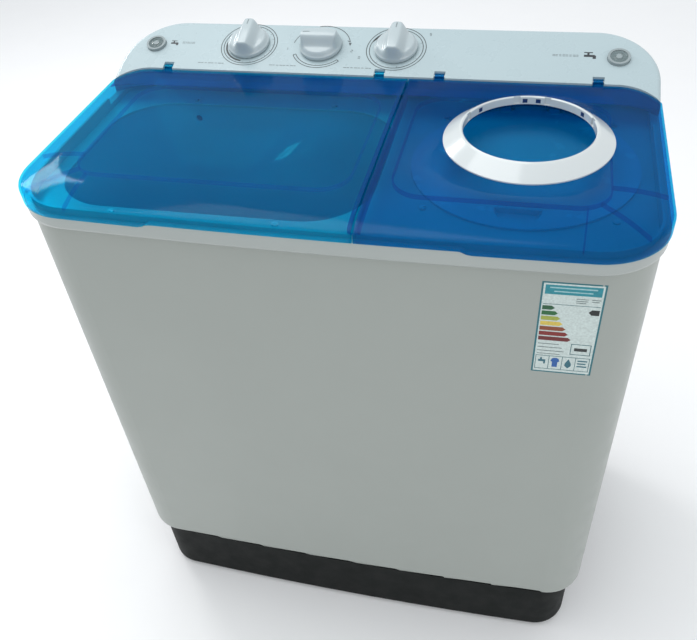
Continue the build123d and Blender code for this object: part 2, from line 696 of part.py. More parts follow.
def make_filter_cover():
    """Overflow cover, a shallow louvred box on the wash tub's wall next to the spinner."""
    wall = FILTER_WALL
    x1 = WASH_X1 - SEAT
    x0 = x1 - FILTER_D
    y0 = WASH_Y - FILTER_HALF_W
    y1 = WASH_Y + FILTER_HALF_W
    z0 = WASH_FLOOR + FILTER_RISE
    z1 = DECK_UNDER - FILTER_DROP
    body = box(x0, x1, y0, y1, z0, z1)
    body = chamfer(body.faces().sort_by(Axis.X)[0].edges(), 5)
    body -= box(x0 + wall, x1 + 1, y0 + wall, y1 - wall, z0 + wall, z1 - wall)
    for i in range(FILTER_SLOTS):
        z = z0 + 35 + FILTER_PITCH * i
        if z < z1 - 20:
            body -= box(x0 - 4, x0 + 8, y0 + 16, y1 - 16, z, z + 6)
    return body


# ================================================================ lids


def crowned(inset, drop):
    """Both lids together as one solid block with the crowned top; inset and drop make the inner form."""
    fold = LID_FOLD - drop
    back = BACK_Y + 80.0
    edge = lid_plan(inset, back_y=back)
    middle = lid_plan(inset + CROWN_W / 3, back_y=back, r_rear=10.0)
    flat = lid_plan(inset + CROWN_W, back_y=back, r_rear=5.0)
    shape = slab(edge, LID_BOTTOM - 1 if drop else LID_BOTTOM, fold)
    shape += loft([Pos(0, 0, fold) * edge, Pos(0, 0, fold + CROWN_H * 0.62) * middle], ruled=True)
    shape += loft([Pos(0, 0, fold + CROWN_H * 0.62) * middle, Pos(0, 0, fold + CROWN_H) * flat], ruled=True)
    return shape


def notch_plan(grow):
    """What lies in front of the panel: a plan with the rounded rear corners of the lids."""
    x = HALF_W - PANEL_INSET - PANEL_EAR_W + PANEL_EAR_R + grow
    return outline(-x, x, -FAR / 2, PANEL_FRONT_Y + grow, 1.0, PANEL_EAR_R + grow)


def lug(x):
    """A hinge lug of a lid: an eye and the arm that joins it to the lid's rear edge."""
    rear = PANEL_FRONT_Y - PANEL_GAP
    eye = bar(x, HINGE_Y, HINGE_Z, LUG_W, EYE_R)
    arm_top = HINGE_Z - 0.6
    arm = box(x - LUG_W / 2, x + LUG_W / 2, rear - 5, HINGE_Y, arm_top - LUG_T, arm_top)
    root = box(x - LUG_W / 2, x + LUG_W / 2, rear - 5, rear, LID_TOP - 6, arm_top)
    return eye + arm + root - bar(x, HINGE_Y, HINGE_Z, LUG_W + 2, PIN_R + RUN)


def rib_loop(x0, x1):
    """The rib under a lid that follows its edge."""
    y0 = FRONT_Y + LID_RIB_INSET
    y1 = PANEL_FRONT_Y - PANEL_GAP - 20
    t = LID_RIB_T
    outer = outline(x0, x1, y0, y1, LID_RIB_R, LID_RIB_R)
    inner = outline(x0 + t, x1 - t, y0 + t, y1 - t, LID_RIB_R - t, LID_RIB_R - t)
    z = LID_TOP - LID_T
    return slab(outer, z - LID_RIB_H, z + 0.5) - slab(inner, z - LID_RIB_H - 1, z + 1)


def lid_shell(x0, x1, lugs):
    """One lid, from x0 to x1, open below."""
    rear = PANEL_FRONT_Y - PANEL_GAP
    region = slab(notch_plan(-PANEL_GAP), LID_BOTTOM - 5, LID_TOP + 5) & box(x0, x1, -FAR, rear, 0, FAR)
    body = crowned(0, 0) & region
    side0 = x0 + LID_T if x0 > -HALF_W else x0
    side1 = x1 - LID_T if x1 < HALF_W else x1
    inner = slab(notch_plan(-PANEL_GAP - LID_T), LID_BOTTOM - 5, LID_TOP + 5)
    inner &= box(side0, side1, -FAR, rear - LID_T, 0, FAR)
    body -= crowned(LID_T, LID_T) & inner
    wall = LID_TOP - SEAM_WALL_H
    body -= box(side0 - LID_T - 1, side1 + LID_T + 1, rear - LID_T - 1, rear + 1, LID_BOTTOM - 5, wall)
    skirt_back = FRONT_Y - FRONT_BOW + LID_T + 0.5
    body -= box(SEAM_X - 10, SEAM_X + 10, skirt_back, rear + 1, LID_BOTTOM - 5, wall)
    body -= front_raise(LID_BOTTOM - 1, LID_BOTTOM + COLLAR_RAISE, grow=1.0)
    for x in lugs:
        body += lug(x)
    return body


def make_wash_lid():
    body = lid_shell(-HALF_W, SEAM_X - SEAM_GAP / 2, WASH_LUGS)
    return body + rib_loop(-HALF_W + LID_RIB_INSET, SEAM_X - 22)


def make_spin_lid():
    body = lid_shell(SEAM_X + SEAM_GAP / 2, HALF_W, SPIN_LUGS)
    ribs = rib_loop(SEAM_X + 22, HALF_W - LID_RIB_INSET)
    ribs -= post(RING_X, RING_Y, 0, FAR, RING_R + 6)
    body += ribs
    under = LID_TOP - LID_T
    body += tube(RING_X, RING_Y, under - 4, under + 0.5, RING_R - 4, RING_R - 4 - LID_RIB_T)
    body -= post(RING_X, RING_Y, LID_BOTTOM, FAR, RING_CREST_R + RING_WALL + SEAT)
    return body


def make_ring():
    """White ring: a cone from the lid's surface up to its crest, and a short throat inside."""
    z = LID_TOP
    top = z + RING_H
    low = top - RING_THROAT_H
    outer = [(RING_R, z), (RING_R, z + 1.4), (RING_CREST_R + 4, top - 1.2), (RING_CREST_R + 1.5, top)]
    inner_r = RING_CREST_R + RING_WALL
    throat = [(RING_CREST_R, top - 1.2), (RING_CREST_R, low), (inner_r, low)]
    under = [(inner_r, top - 4.5), (RING_CREST_R + 4, top - 4.5), (RING_R - RING_WALL - 1, z)]
    ring = revolved(RING_X, RING_Y, outer + throat + under)
    for angle in CLIP_ANGLES:
        slot = box(RING_CREST_R - 2, RING_CREST_R + 1.2, -CLIP_W / 2, CLIP_W / 2, top - 9, top + 1)
        ring -= Pos(RING_X, RING_Y, 0) * Rot(0, 0, angle) * slot
    return ring


def make_window():
    """Clear cup in the ring: a flange on the lid, a wall down through it and a flat floor."""
    r = RING_CREST_R + RING_WALL
    top = LID_TOP + RING_H - RING_THROAT_H
    floor = LID_TOP - WINDOW_DROP
    cup = tube(RING_X, RING_Y, floor, top, r, r - LID_T)
    cup += post(RING_X, RING_Y, floor - LID_T, floor, r)
    return cup + tube(RING_X, RING_Y, LID_TOP, LID_TOP + 1.5, r + 8, r - 1)


def make_inner_lid():
    """Safety lid over the spinner's opening, with a finger recess at its front."""
    z = DECK_TOP + 0.4
    top = z + INNER_LID_T
    body = post(SPIN_X, SPIN_Y, z, top, INNER_LID_R)
    plug_r = SPIN_TUB_R - SPIN_LIP - 1.5
    body += tube(SPIN_X, SPIN_Y, z - INNER_LID_RIM_H, z + 1, plug_r, plug_r - 2)
    tab_y = SPIN_Y - INNER_LID_R + TAB_BACK
    front = box(-FAR, FAR, -FAR, tab_y, 0, FAR)
    body += cone(SPIN_X, tab_y, z - 6, top, TAB_R - 5, TAB_R) & Pos(0, 2, 0) * front
    body -= cone(SPIN_X, tab_y, z - 4, top + 0.1, TAB_R - 7, TAB_R - 2) & front
    hinge_z = z + INNER_HINGE_RISE
    back = SPIN_Y + sqrt(INNER_LID_R ** 2 - (INNER_LUG_SPACING / 2 + LUG_W / 2) ** 2)
    for side in (-1, 1):
        x = SPIN_X + side * INNER_LUG_SPACING / 2
        body += box(x - LUG_W / 2, x + LUG_W / 2, back - 4, INNER_HINGE_Y, z + 1.2, top + 1.2)
        body += bar(x, INNER_HINGE_Y, hinge_z, LUG_W, EYE_R)
        body -= bar(x, INNER_HINGE_Y, hinge_z, LUG_W + 2, PIN_R + RUN)
    return body


def make_inner_hinge():
    """Brackets on the deck with the pins of the safety lid."""
    z = DECK_TOP
    hinge_z = z + 0.4 + INNER_HINGE_RISE
    parts = []
    for side in (-1, 1):
        x = SPIN_X + side * INNER_LUG_SPACING / 2
        near = LUG_W / 2 + LUG_GAP
        cheeks = [box(x + s * near - (3 if s < 0 else 0), x + s * near + (0 if s < 0 else 3),
                      INNER_HINGE_Y - 3, INNER_HINGE_Y + 9, z, hinge_z + 4) for s in (-1, 1)]
        foot = box(x - near - 3, x + near + 3, INNER_HINGE_Y + 5.5, INNER_HINGE_Y + 9, z, z + 4)
        pin = bar(x, INNER_HINGE_Y, hinge_z, 2 * near + 4, PIN_R)
        parts.append(joined([*cheeks, foot, pin]))
    return parts


def make_lid_pins():
    length = LUG_W + 2 * LUG_GAP + 2 * PIN_SEAT
    return [bar(x, HINGE_Y, HINGE_Z, length, PIN_R) for x in (*WASH_LUGS, *SPIN_LUGS)]


# ================================================================ control panel


def panel_plan(grow=0.0):
    x = HALF_W - PANEL_INSET + grow
    y0 = PANEL_FRONT_Y - PANEL_EAR_R
    body = outline(-x, x, y0, BACK_Y + grow, 1.0, PANEL_BACK_R + grow)
    return body - notch_plan(-grow)


def above_panel(depth=0.0):
    return PANEL.location * Pos(0, 0, FAR / 2 - depth) * Box(FAR, FAR, FAR)


def on_panel(x, up):
    return PANEL.location * Pos(x, up, 0)


def make_panel():
    body = slab(panel_plan(), COLLAR_TOP, COLLAR_TOP + 90) - above_panel()
    top_edges = [e for e in body.edges() if abs(PANEL.to_local_coords(e.center()).Z) < 0.01]
    rear = [e for e in top_edges if e.center().Y > PANEL_FRONT_Y + 2 and e.length > 5]
    body = fillet(rear, PANEL_EDGE_R)
    body -= slab(panel_plan(-PANEL_WALL), COLLAR_TOP - 1, COLLAR_TOP + 90) - above_panel(PANEL_WALL)
    near = LUG_W / 2 + LUG_GAP
    wide = near + HINGE_BLOCK_W
    low = HINGE_Z - EYE_R
    back = HINGE_Y + EYE_R
    for x in (*WASH_LUGS, *SPIN_LUGS):
        block = box(x - wide, x + wide, PANEL_FRONT_Y, back + 5, low - 5, HINGE_Z + 20)
        body += block - above_panel(0.5)
    for x in (*WASH_LUGS, *SPIN_LUGS):
        body -= box(x - near, x + near, PANEL_FRONT_Y - 1, back + 1, low - 2, HINGE_Z + 20)
        body -= bar(x, HINGE_Y, HINGE_Z, 2 * (near + PIN_SEAT), PIN_R + RUN)
    for x in KNOB_XS:
        body -= on_panel(x, KNOB_UP) * Cylinder(SHAFT_HOLE_R, 40)
    for side in (-1, 1):
        body -= inlet_point(side) * Cylinder(INLET_R + SEAT, 40)
    return body


def make_timer(x, round_case):
    """Clockwork timer or selector under the panel, with the hole that its shaft turns in."""
    top = -PANEL_WALL
    at = on_panel(x, KNOB_UP)
    if round_case:
        case = Pos(0, 0, top - TIMER_NECK_H - TIMER_H / 2) * Cylinder(TIMER_R, TIMER_H)
    else:
        case = Pos(0, 0, top - TIMER_NECK_H - TIMER_H / 2) * Box(46, 40, TIMER_H)
    ears = Pos(0, 0, top - 1) * Box(2 * TIMER_R + 10, 12, 2)
    neck = Pos(0, 0, top - TIMER_NECK_H / 2) * Cylinder(10, TIMER_NECK_H)
    bore = Pos(0, 0, top - 8) * Cylinder(SHAFT_R + RUN, 20)
    return at * (case + ears + neck - bore)


def make_knob(x, turn):
    """Cone with two scoops that leave a grip across it, hollow below."""
    z0 = KNOB_GAP
    body = Pos(0, 0, z0 + KNOB_SKIRT / 2) * Cylinder(KNOB_R, KNOB_SKIRT)
    taper_h = KNOB_H - KNOB_SKIRT
    body += Pos(0, 0, z0 + KNOB_SKIRT + taper_h / 2) * Cone(KNOB_R - 1, KNOB_TOP_R, taper_h)
    scoop = Rot(0, KNOB_SCOOP_TILT, 0) * Pos(30, 0, 30) * Box(60, 80, 60)
    for side in (-1, 1):
        body -= Pos(side * KNOB_GRIP / 2, 0, z0 + KNOB_SCOOP_Z) * Rot(0, 0, 90 - 90 * side) * scoop
    body -= Pos(0, 0, z0 + 1.5) * Cylinder(KNOB_R - KNOB_WALL, 3)
    body -= Pos(0, 0, z0 + 7) * Cylinder(SHAFT_R + 0.02, 14)
    return on_panel(x, KNOB_UP) * Rot(0, 0, turn) * body


def make_shaft(x):
    """Shaft of a knob, from inside the knob into the timer."""
    low = -PANEL_WALL - 16
    high = KNOB_GAP + 13
    return on_panel(x, KNOB_UP) * Pos(0, 0, (low + high) / 2) * Cylinder(SHAFT_R, high - low)


def make_inlet_socket(side):
    z = -INLET_SOCKET_H / 2 + 1.0
    socket = Pos(0, 0, z) * Cylinder(INLET_R, INLET_SOCKET_H)
    socket -= Pos(0, 0, z + 3) * Cylinder(INLET_R - 2, INLET_SOCKET_H)
    socket -= Pos(0, 0, z) * Cylinder(PIPE_BORE_R, INLET_SOCKET_H + 2)
    return inlet_point(side) * socket


def make_inlet_cap(side):
    """Cap in the inlet's mouth, with a raised middle."""
    z = 1.0
    cap = Pos(0, 0, z + INLET_CAP_H / 2) * Cylinder(INLET_R, INLET_CAP_H)
    plug = Pos(0, 0, z - 4) * Cylinder(INLET_R - 2 - SEAT, 8.2)
    dish = Pos(0, 0, z + INLET_CAP_H) * Cylinder(INLET_R - 3, 3)
    knob = Pos(0, 0, z + INLET_CAP_H / 2) * Cylinder(4, INLET_CAP_H)
    return inlet_point(side) * (cap + plug - dish + knob)


def pipe(points, radii, r_out, r_in):
    """A hose of round section along straight runs joined by arcs."""
    path = FilletPolyline(*points, radius=radii)
    start = Plane(origin=points[0], z_dir=Vector(*points[1]) - Vector(*points[0]))
    return sweep(start * (Circle(r_out) - Circle(r_in)), path=path)


def make_wash_pipe():
    start = pipe_start(-1)
    bend = pipe_bend(-1)
    end = WASH_Y1 + TUB_WALL + SEAT
    level = [(bend[0], bend[1], PIPE_Z), (SPRAY_X, bend[1], PIPE_Z), (SPRAY_X, end, PIPE_Z)]
    points = [start, bend, *level]
    return pipe(points, PIPE_BEND_R, PIPE_R, PIPE_BORE_R)


def make_spin_pipe():
    start = pipe_start(1)
    bend = pipe_bend(1)
    dx = SPIN_X - bend[0]
    dy = SPIN_Y - bend[1]
    reach = 1 - (SPIN_TUB_R + TUB_WALL + SEAT) / hypot(dx, dy)
    end = (bend[0] + dx * reach, bend[1] + dy * reach, PIPE_Z)
    return pipe([start, bend, (bend[0], bend[1], PIPE_Z), end], PIPE_BEND_R, PIPE_R, PIPE_BORE_R)


# ================================================================ wash drive

def make_pulsator():
    """Ribbed disc with swept vanes and a domed middle."""
    z = PULSATOR_Z
    disc = revolved(WASH_X, WASH_Y, [
        (DRIVE_SHAFT_R, z), (PULSATOR_R, z), (PULSATOR_R, z + 4), (PULSATOR_R - 10, z + PULSATOR_H),
        (40, z + PULSATOR_H + 2), (24, z + VANE_H + 4), (DRIVE_SHAFT_R, z + VANE_H + 6),
    ])
    low = [(18, z + 5), (PULSATOR_R - 8, z + 5)]
    high = [(PULSATOR_R - 12, z + VANE_H - 8), (70, z + VANE_H), (18, z + VANE_H)]
    side = make_face(Polyline(*[(r, 0, h) for r, h in low + high], close=True))
    vane = extrude(side, 5, both=True)
    for i in range(PULSATOR_VANES):
        disc += Pos(WASH_X, WASH_Y, 0) * Rot(0, 0, 360 / PULSATOR_VANES * i) * vane
    disc -= post(WASH_X, WASH_Y, z - 1, z + 18, DRIVE_SHAFT_R)
    disc += post(WASH_X, WASH_Y, z + 18, z + VANE_H + 6, DRIVE_SHAFT_R + 0.5)
    return disc


def make_pulsator_shaft():
    return post(WASH_X, WASH_Y, SHAFT_LOW, PULSATOR_Z + 18 - SEAT, DRIVE_SHAFT_R)


def make_shaft_housing():
    body = post(WASH_X, WASH_Y, HOUSING_BOTTOM, HOUSING_TOP, HOUSING_R)
    flange_top = HOUSING_TOP - TUB_WALL
    body += post(WASH_X, WASH_Y, flange_top - HOUSING_FLANGE_T, flange_top, HOUSING_FLANGE_R)
    for i in range(4):
        web = box(HOUSING_R - 1, HOUSING_FLANGE_R - 4, -2, 2, flange_top - 30, flange_top - 2)
        body += Pos(WASH_X, WASH_Y, 0) * Rot(0, 0, 45 + 90 * i) * web
    body -= post(WASH_X, WASH_Y, HOUSING_BOTTOM - 1, HOUSING_TOP + 1, BUSH_R)
    return body


def make_bushes():
    return [
        tube(WASH_X, WASH_Y, HOUSING_BOTTOM, HOUSING_BOTTOM + BUSH_H, BUSH_R, DRIVE_SHAFT_R + RUN),
        tube(WASH_X, WASH_Y, HOUSING_TOP - BUSH_H - 6, HOUSING_TOP - 6, BUSH_R, DRIVE_SHAFT_R + RUN),
    ]


def make_shaft_seal():
    return tube(WASH_X, WASH_Y, HOUSING_TOP - 6, HOUSING_TOP + 0.6, BUSH_R, DRIVE_SHAFT_R + RUN)


def pulley(x, y, r, bore, spokes):
    top = PULLEY_TOP
    low = PULLEY_BOTTOM
    floor_r = r - GROOVE_D
    groove = [(floor_r, PULLEY_MID - GROOVE_FLOOR), (floor_r, PULLEY_MID + GROOVE_FLOOR)]
    rim = [(r, low), (r, low + 2), *groove, (r, top - 2), (r, top)]
    wheel = revolved(x, y, [(bore, low), *rim, (bore, top)])
    if spokes:
        web = tube(x, y, PULLEY_MID + 2, top + 1, r - 14, bore + 10)
        web += tube(x, y, low - 1, PULLEY_MID - 2, r - 14, bore + 10)
        wheel -= web
        for px, py in ring_of(x, y, (r + bore) / 2 - 2, spokes):
            wheel -= post(px, py, low - 1, top + 1, PULLEY_HOLE_R)
    return wheel


def make_belt():
    """Vee belt round both pulleys, in their grooves."""
    dx = MOTOR_X - WASH_X
    dy = MOTOR_Y - WASH_Y
    gap = hypot(dx, dy)
    big = PULLEY_R - GROOVE_D + SEAT
    small = MOTOR_PULLEY_R - GROOVE_D + SEAT
    outer = make_hull([*Circle(big + BELT_T).edges(), *(Pos(gap, 0) * Circle(small + BELT_T)).edges()])
    inner = make_hull([*Circle(big).edges(), *(Pos(gap, 0) * Circle(small)).edges()])
    band = slab(outer - inner, PULLEY_MID - BELT_W / 2, PULLEY_MID + BELT_W / 2)
    return Pos(WASH_X, WASH_Y, 0) * Rot(0, 0, degrees(atan2(dy, dx))) * band


def make_motor_plate():
    dx = MOTOR_X - WASH_X
    dy = MOTOR_Y - WASH_Y
    reach = HOUSING_FLANGE_R + 2 * POST_R + 6
    out = MOTOR_R + 2 * POST_R + 6
    hull = make_hull([*Circle(reach).edges(), *(Pos(hypot(dx, dy), 0) * Circle(out)).edges()])
    plate = Pos(WASH_X, WASH_Y, 0) * Rot(0, 0, degrees(atan2(dy, dx))) * slab(hull, PLATE_BOTTOM, PLATE_TOP)
    plate -= post(WASH_X, WASH_Y, 0, FAR, HOUSING_R + 3)
    plate -= post(MOTOR_X, MOTOR_Y, 0, FAR, 20)
    for x, y in plate_posts():
        plate -= post(x, y, 0, FAR, BOLT_R + RUN)
    for x, y in motor_bolt_places():
        plate -= post(x, y, 0, FAR, BOLT_R + RUN)
    return plate


def motor_bolt_places():
    return ring_of(MOTOR_X, MOTOR_Y, MOTOR_R - 9, 4, pi / 4)


def make_plate_bolts():
    bolts = []
    for x, y in plate_posts():
        shank = post(x, y, PLATE_BOTTOM, PLATE_TOP + 16, BOLT_R)
        bolts.append(shank + post(x, y, PLATE_BOTTOM - BOLT_HEAD_H, PLATE_BOTTOM, BOLT_HEAD_R))
    return bolts


def make_motor_bolts():
    bolts = []
    for x, y in motor_bolt_places():
        shank = post(x, y, PLATE_BOTTOM, PLATE_TOP + 9, BOLT_R)
        bolts.append(shank + post(x, y, PLATE_BOTTOM - BOLT_HEAD_H, PLATE_BOTTOM, BOLT_HEAD_R))
    return bolts


def motor_case(x, y, z0, h, r, shaft_r, top_open):
    """Round motor housing: end cover, stator pack and end cover, hollow for the rotor."""
    body = post(x, y, z0, z0 + h, r - 5)
    body += post(x, y, z0 + 0.28 * h, z0 + 0.72 * h, r)
    body -= post(x, y, z0 + MOTOR_END_T, z0 + h - MOTOR_END_T, ROTOR_SHARE * r)
    body -= post(x, y, z0 - 1, z0 + h + 1 if top_open else z0 + 6, shaft_r + RUN)
    return body


def make_wash_motor():
    body = motor_case(MOTOR_X, MOTOR_Y, PLATE_TOP, MOTOR_H, MOTOR_R, MOTOR_SHAFT_R, False)
    for x, y in motor_bolt_places():
        body -= post(x, y, PLATE_TOP - 1, PLATE_TOP + 10, BOLT_R + RUN)
    return body


def make_wash_rotor():
    top = PLATE_TOP + MOTOR_H
    r = ROTOR_SHARE * MOTOR_R - 1
    rotor = post(MOTOR_X, MOTOR_Y, PLATE_TOP + ROTOR_END, top - ROTOR_END, r)
    return rotor + post(MOTOR_X, MOTOR_Y, SHAFT_LOW, top - 6, MOTOR_SHAFT_R)


# ================================================================ spin drive

def make_basket():
    ring_z = BASKET_TOP - BASKET_RING_H
    hub_z = BASKET_Z + BASKET_HUB_H
    body = post(SPIN_X, SPIN_Y, BASKET_Z, BASKET_TOP, BASKET_R)
    body -= post(SPIN_X, SPIN_Y, BASKET_Z + BASKET_FLOOR_T, ring_z, BASKET_R - BASKET_WALL)
    body -= post(SPIN_X, SPIN_Y, ring_z - 1, BASKET_TOP + 1, BASKET_R - BASKET_RING_IN)
    body += cone(SPIN_X, SPIN_Y, BASKET_Z, hub_z, BASKET_HUB_R, BASKET_HUB_R - 8)
    body -= post(SPIN_X, SPIN_Y, BASKET_Z - 1, hub_z - 6, SPIN_SHAFT_R)
    low = BASKET_Z + BASKET_HOLES_UP
    step = (ring_z - BASKET_HOLES_DOWN - low) / (BASKET_ROWS - 1)
    drill = Rot(0, 90, 0) * Cylinder(BASKET_HOLE_R, 30)
    holes = []
    for row in range(BASKET_ROWS):
        for i in range(BASKET_HOLES):
            angle = 360 / BASKET_HOLES * (i + 0.5 * (row % 2))
            place = Pos(SPIN_X, SPIN_Y, low + step * row) * Rot(0, 0, angle) * Pos(BASKET_R, 0, 0)
            holes.append(place * drill)
    return body.cut(*holes)


def make_spin_shaft():
    return post(SPIN_X, SPIN_Y, DRUM_Z + DRUM_WALL, BASKET_Z + BASKET_HUB_H - 6 - SEAT, SPIN_SHAFT_R)


def make_drum():
    """Brake drum and coupling in one, between the motor's shaft and the basket's shaft."""
    body = post(SPIN_X, SPIN_Y, DRUM_Z, DRUM_Z + DRUM_H, DRUM_R)
    body -= tube(SPIN_X, SPIN_Y, DRUM_Z + DRUM_WALL, DRUM_Z + DRUM_H + 1, DRUM_R - DRUM_WALL, 14)
    body -= post(SPIN_X, SPIN_Y, DRUM_Z + DRUM_WALL, DRUM_Z + DRUM_H + 1, SPIN_SHAFT_R)
    body -= post(SPIN_X, SPIN_Y, DRUM_Z - 1, DRUM_Z + DRUM_WALL, SPIN_SHAFT_R)
    return body


def make_spin_rotor():
    r = ROTOR_SHARE * SPIN_MOTOR_R - 1
    rotor = post(SPIN_X, SPIN_Y, SPIN_MOTOR_Z + ROTOR_END, SPIN_MOTOR_TOP - ROTOR_END, r)
    return rotor + post(SPIN_X, SPIN_Y, SPIN_MOTOR_Z + 6, DRUM_Z + DRUM_WALL, SPIN_SHAFT_R)


def make_spin_motor():
    case = motor_case(SPIN_X, SPIN_Y, SPIN_MOTOR_Z, SPIN_MOTOR_H, SPIN_MOTOR_R, SPIN_SHAFT_R, True)
    return case + post(SPIN_X, SPIN_Y, SPIN_MOTOR_Z, SPIN_MOTOR_Z + MOTOR_END_T, SPIN_MOTOR_R - 6)


def make_spin_plate():
    plate = post(SPIN_X, SPIN_Y, SPIN_PLATE_Z, SPIN_MOTOR_Z, SPIN_PLATE_R)
    for x, y in ring_of(SPIN_X, SPIN_Y, SPIN_PLATE_R + 12, 3, -pi / 2):
        plate -= post(x, y, 0, FAR, 34)
    for x, y in damper_places():
        plate -= post(x, y, 0, FAR, BOLT_R + RUN)
    return plate


def make_dampers():
    z0 = DAMPER_SEAT - DAMPER_SINK
    waist_r = DAMPER_R - DAMPER_WAIST
    pitch = DAMPER_H / DAMPER_COILS
    points = [(0, z0)]
    for i in range(DAMPER_COILS):
        z = z0 + pitch * i
        points += [(DAMPER_R, z + 1), (DAMPER_R, z + pitch * 0.6), (waist_r, z + pitch * 0.8)]
    points[1] = (DAMPER_R, z0)
    points += [(waist_r, z0 + DAMPER_H), (0, z0 + DAMPER_H)]
    return [revolved(x, y, points) for x, y in damper_places()]


def make_bellows():
    """Rubber bellows seal between the spin tub's floor and the bearing."""
    z1 = SPIN_FLOOR - TUB_WALL
    z0 = BEARING_Z
    seat_z = z0 + BEARING_H
    r = BELLOWS_R
    outer = [(r, z1), (r, z1 - 3), (r - 10, z1 - 6), (r - 4, z1 - 11), (r - 13, z1 - 16)]
    foot = [(r - 10, z0 + 3), (r - 10, z0), (BEARING_R, z0), (BEARING_R, seat_z), (r - 15, seat_z)]
    inner = [(r - 15, z1 - 15), (r - 7, z1 - 11), (r - 13, z1 - 6), (r - 10, z1)]
    return revolved(SPIN_X, SPIN_Y, outer + foot + inner)


def make_spin_bearing():
    return tube(SPIN_X, SPIN_Y, BEARING_Z, BEARING_Z + BEARING_H, BEARING_R, SPIN_SHAFT_R + RUN)


def make_brake_post():
    """Pivot of the brake lever, on an arm from the motor's cover."""
    foot = SPIN_MOTOR_TOP
    arm = box(SPIN_X + 20, BRAKE_X + 6, BRAKE_Y - 6, BRAKE_Y + 6, foot, foot + PLATE_T)
    pin = post(BRAKE_X, BRAKE_Y, foot, BRAKE_Z + BRAKE_H + 3, BRAKE_PIVOT_R)
    collar = post(BRAKE_X, BRAKE_Y, foot, BRAKE_Z - SEAT, BRAKE_PIVOT_R + 3)
    return arm + pin + collar


def make_brake_lever():
    """Lever with a curved shoe beside the brake drum, and an arm for the brake wire."""
    z0 = BRAKE_Z
    z1 = BRAKE_Z + BRAKE_H
    clear = DRUM_R + BRAKE_GAP
    shoe = tube(SPIN_X, SPIN_Y, z0, z1, clear + BRAKE_T, clear)
    shoe &= box(SPIN_X, SPIN_X + FAR, BRAKE_Y - 2, SPIN_Y + 24, z0 - 1, z1 + 1)
    eye = post(BRAKE_X, BRAKE_Y, z0, z1, BRAKE_EYE_R)
    link = box(SPIN_X + DRUM_R - 2, BRAKE_X, BRAKE_Y - 3, BRAKE_Y + 3, z0, z1)
    arm = box(BRAKE_X - 3, BRAKE_X + 3, BRAKE_Y, BRAKE_Y + BRAKE_ARM, z0, z0 + 4)
    body = shoe + eye + link + arm
    body -= post(SPIN_X, SPIN_Y, z0 - 1, z1 + 1, clear)
    body -= post(BRAKE_X, BRAKE_Y, z0 - 1, z1 + 1, BRAKE_PIVOT_R + RUN)
    return body


# ================================================================ drain

def make_valve_body():
    """Valve chamber over the seat, and below it a chamber that the spinner's hose joins."""
    spigot_r = HOSE_R - HOSE_T - SEAT
    inner_r = VALVE_R - VALVE_WALL
    low = VALVE_BOTTOM
    branch = Pos(DRAIN_X + VALVE_R + 4, DRAIN_Y, VALVE_TOP - BRANCH_DROP) * Rot(0, 90, 0)
    body = post(DRAIN_X, DRAIN_Y, low, VALVE_TOP, VALVE_R)
    body += post(DRAIN_X, DRAIN_Y, low - NOZZLE_H, low, spigot_r)
    body += branch * Cylinder(spigot_r, 24)
    body -= post(DRAIN_X, DRAIN_Y, VALVE_SEAT_Z, VALVE_TOP + 1, inner_r)
    body -= post(DRAIN_X, DRAIN_Y, low + VALVE_WALL, VALVE_SEAT_Z - VALVE_WALL, inner_r)
    body -= post(DRAIN_X, DRAIN_Y, low - NOZZLE_H - 1, VALVE_TOP, VALVE_BORE_R)
    return body - branch * Cylinder(VALVE_BORE_R, 26)


def make_valve_plug():
    """Rubber plug on the valve's seat."""
    return cone(DRAIN_X, DRAIN_Y, VALVE_SEAT_Z + SEAT, VALVE_SEAT_Z + PLUG_H, PLUG_R, PLUG_R / 2)


def make_valve_stem():
    return post(DRAIN_X, DRAIN_Y, VALVE_SEAT_Z + PLUG_H, VALVE_TOP + 4, STEM_R)


def make_drain_hose():
    x_end = OUTLET_X + BASE_WALL + 5
    points = [
        (DRAIN_X, DRAIN_Y, VALVE_BOTTOM - 1),
        (DRAIN_X, DRAIN_Y, OUTLET_Z + 76),
        (DRAIN_X - 120, OUTLET_Y, OUTLET_Z + 34),
        (x_end + 110, OUTLET_Y, OUTLET_Z),
        (x_end, OUTLET_Y, OUTLET_Z),
    ]
    return pipe(points, HOSE_BEND_R, HOSE_R, HOSE_R - HOSE_T)


def make_spin_hose():
    z = VALVE_TOP - BRANCH_DROP
    points = [
        (SPIN_DRAIN_X, DRAIN_Y, SPIN_FLOOR - TUB_WALL - 1),
        (SPIN_DRAIN_X, DRAIN_Y, z),
        (DRAIN_X + VALVE_R + 1, DRAIN_Y, z),
    ]
    return pipe(points, SPIN_HOSE_BEND_R, HOSE_R, HOSE_R - HOSE_T)


def make_outlet():
    """Drain nipple through the side of the base, with its flange outside."""
    at = Pos(OUTLET_X, OUTLET_Y, OUTLET_Z) * Rot(0, -90, 0)
    body = at * Cylinder(HOSE_R - HOSE_T - SEAT, 2 * OUTLET_L)
    body += at * Pos(0, 0, BASE_WALL / 2) * Cylinder(OUTLET_R + OUTLET_FLANGE, BASE_WALL)
    body += at * Pos(0, 0, OUTLET_L / 2) * Cylinder(OUTLET_R, OUTLET_L)
    return body - at * Cylinder(OUTLET_BORE_R, 60)


# ================================================================ electrics


def make_capacitor():
    top = BASE_INSIDE + CAP_H
    can = post(CAP_X, CAP_Y, BASE_INSIDE, top, CAP_R)
    can = fillet(can.faces().sort_by(Axis.Z)[-1].edges(), 3)
    return can + box(CAP_X - 8, CAP_X + 8, CAP_Y - 4, CAP_Y + 4, top - 1, top + 6)


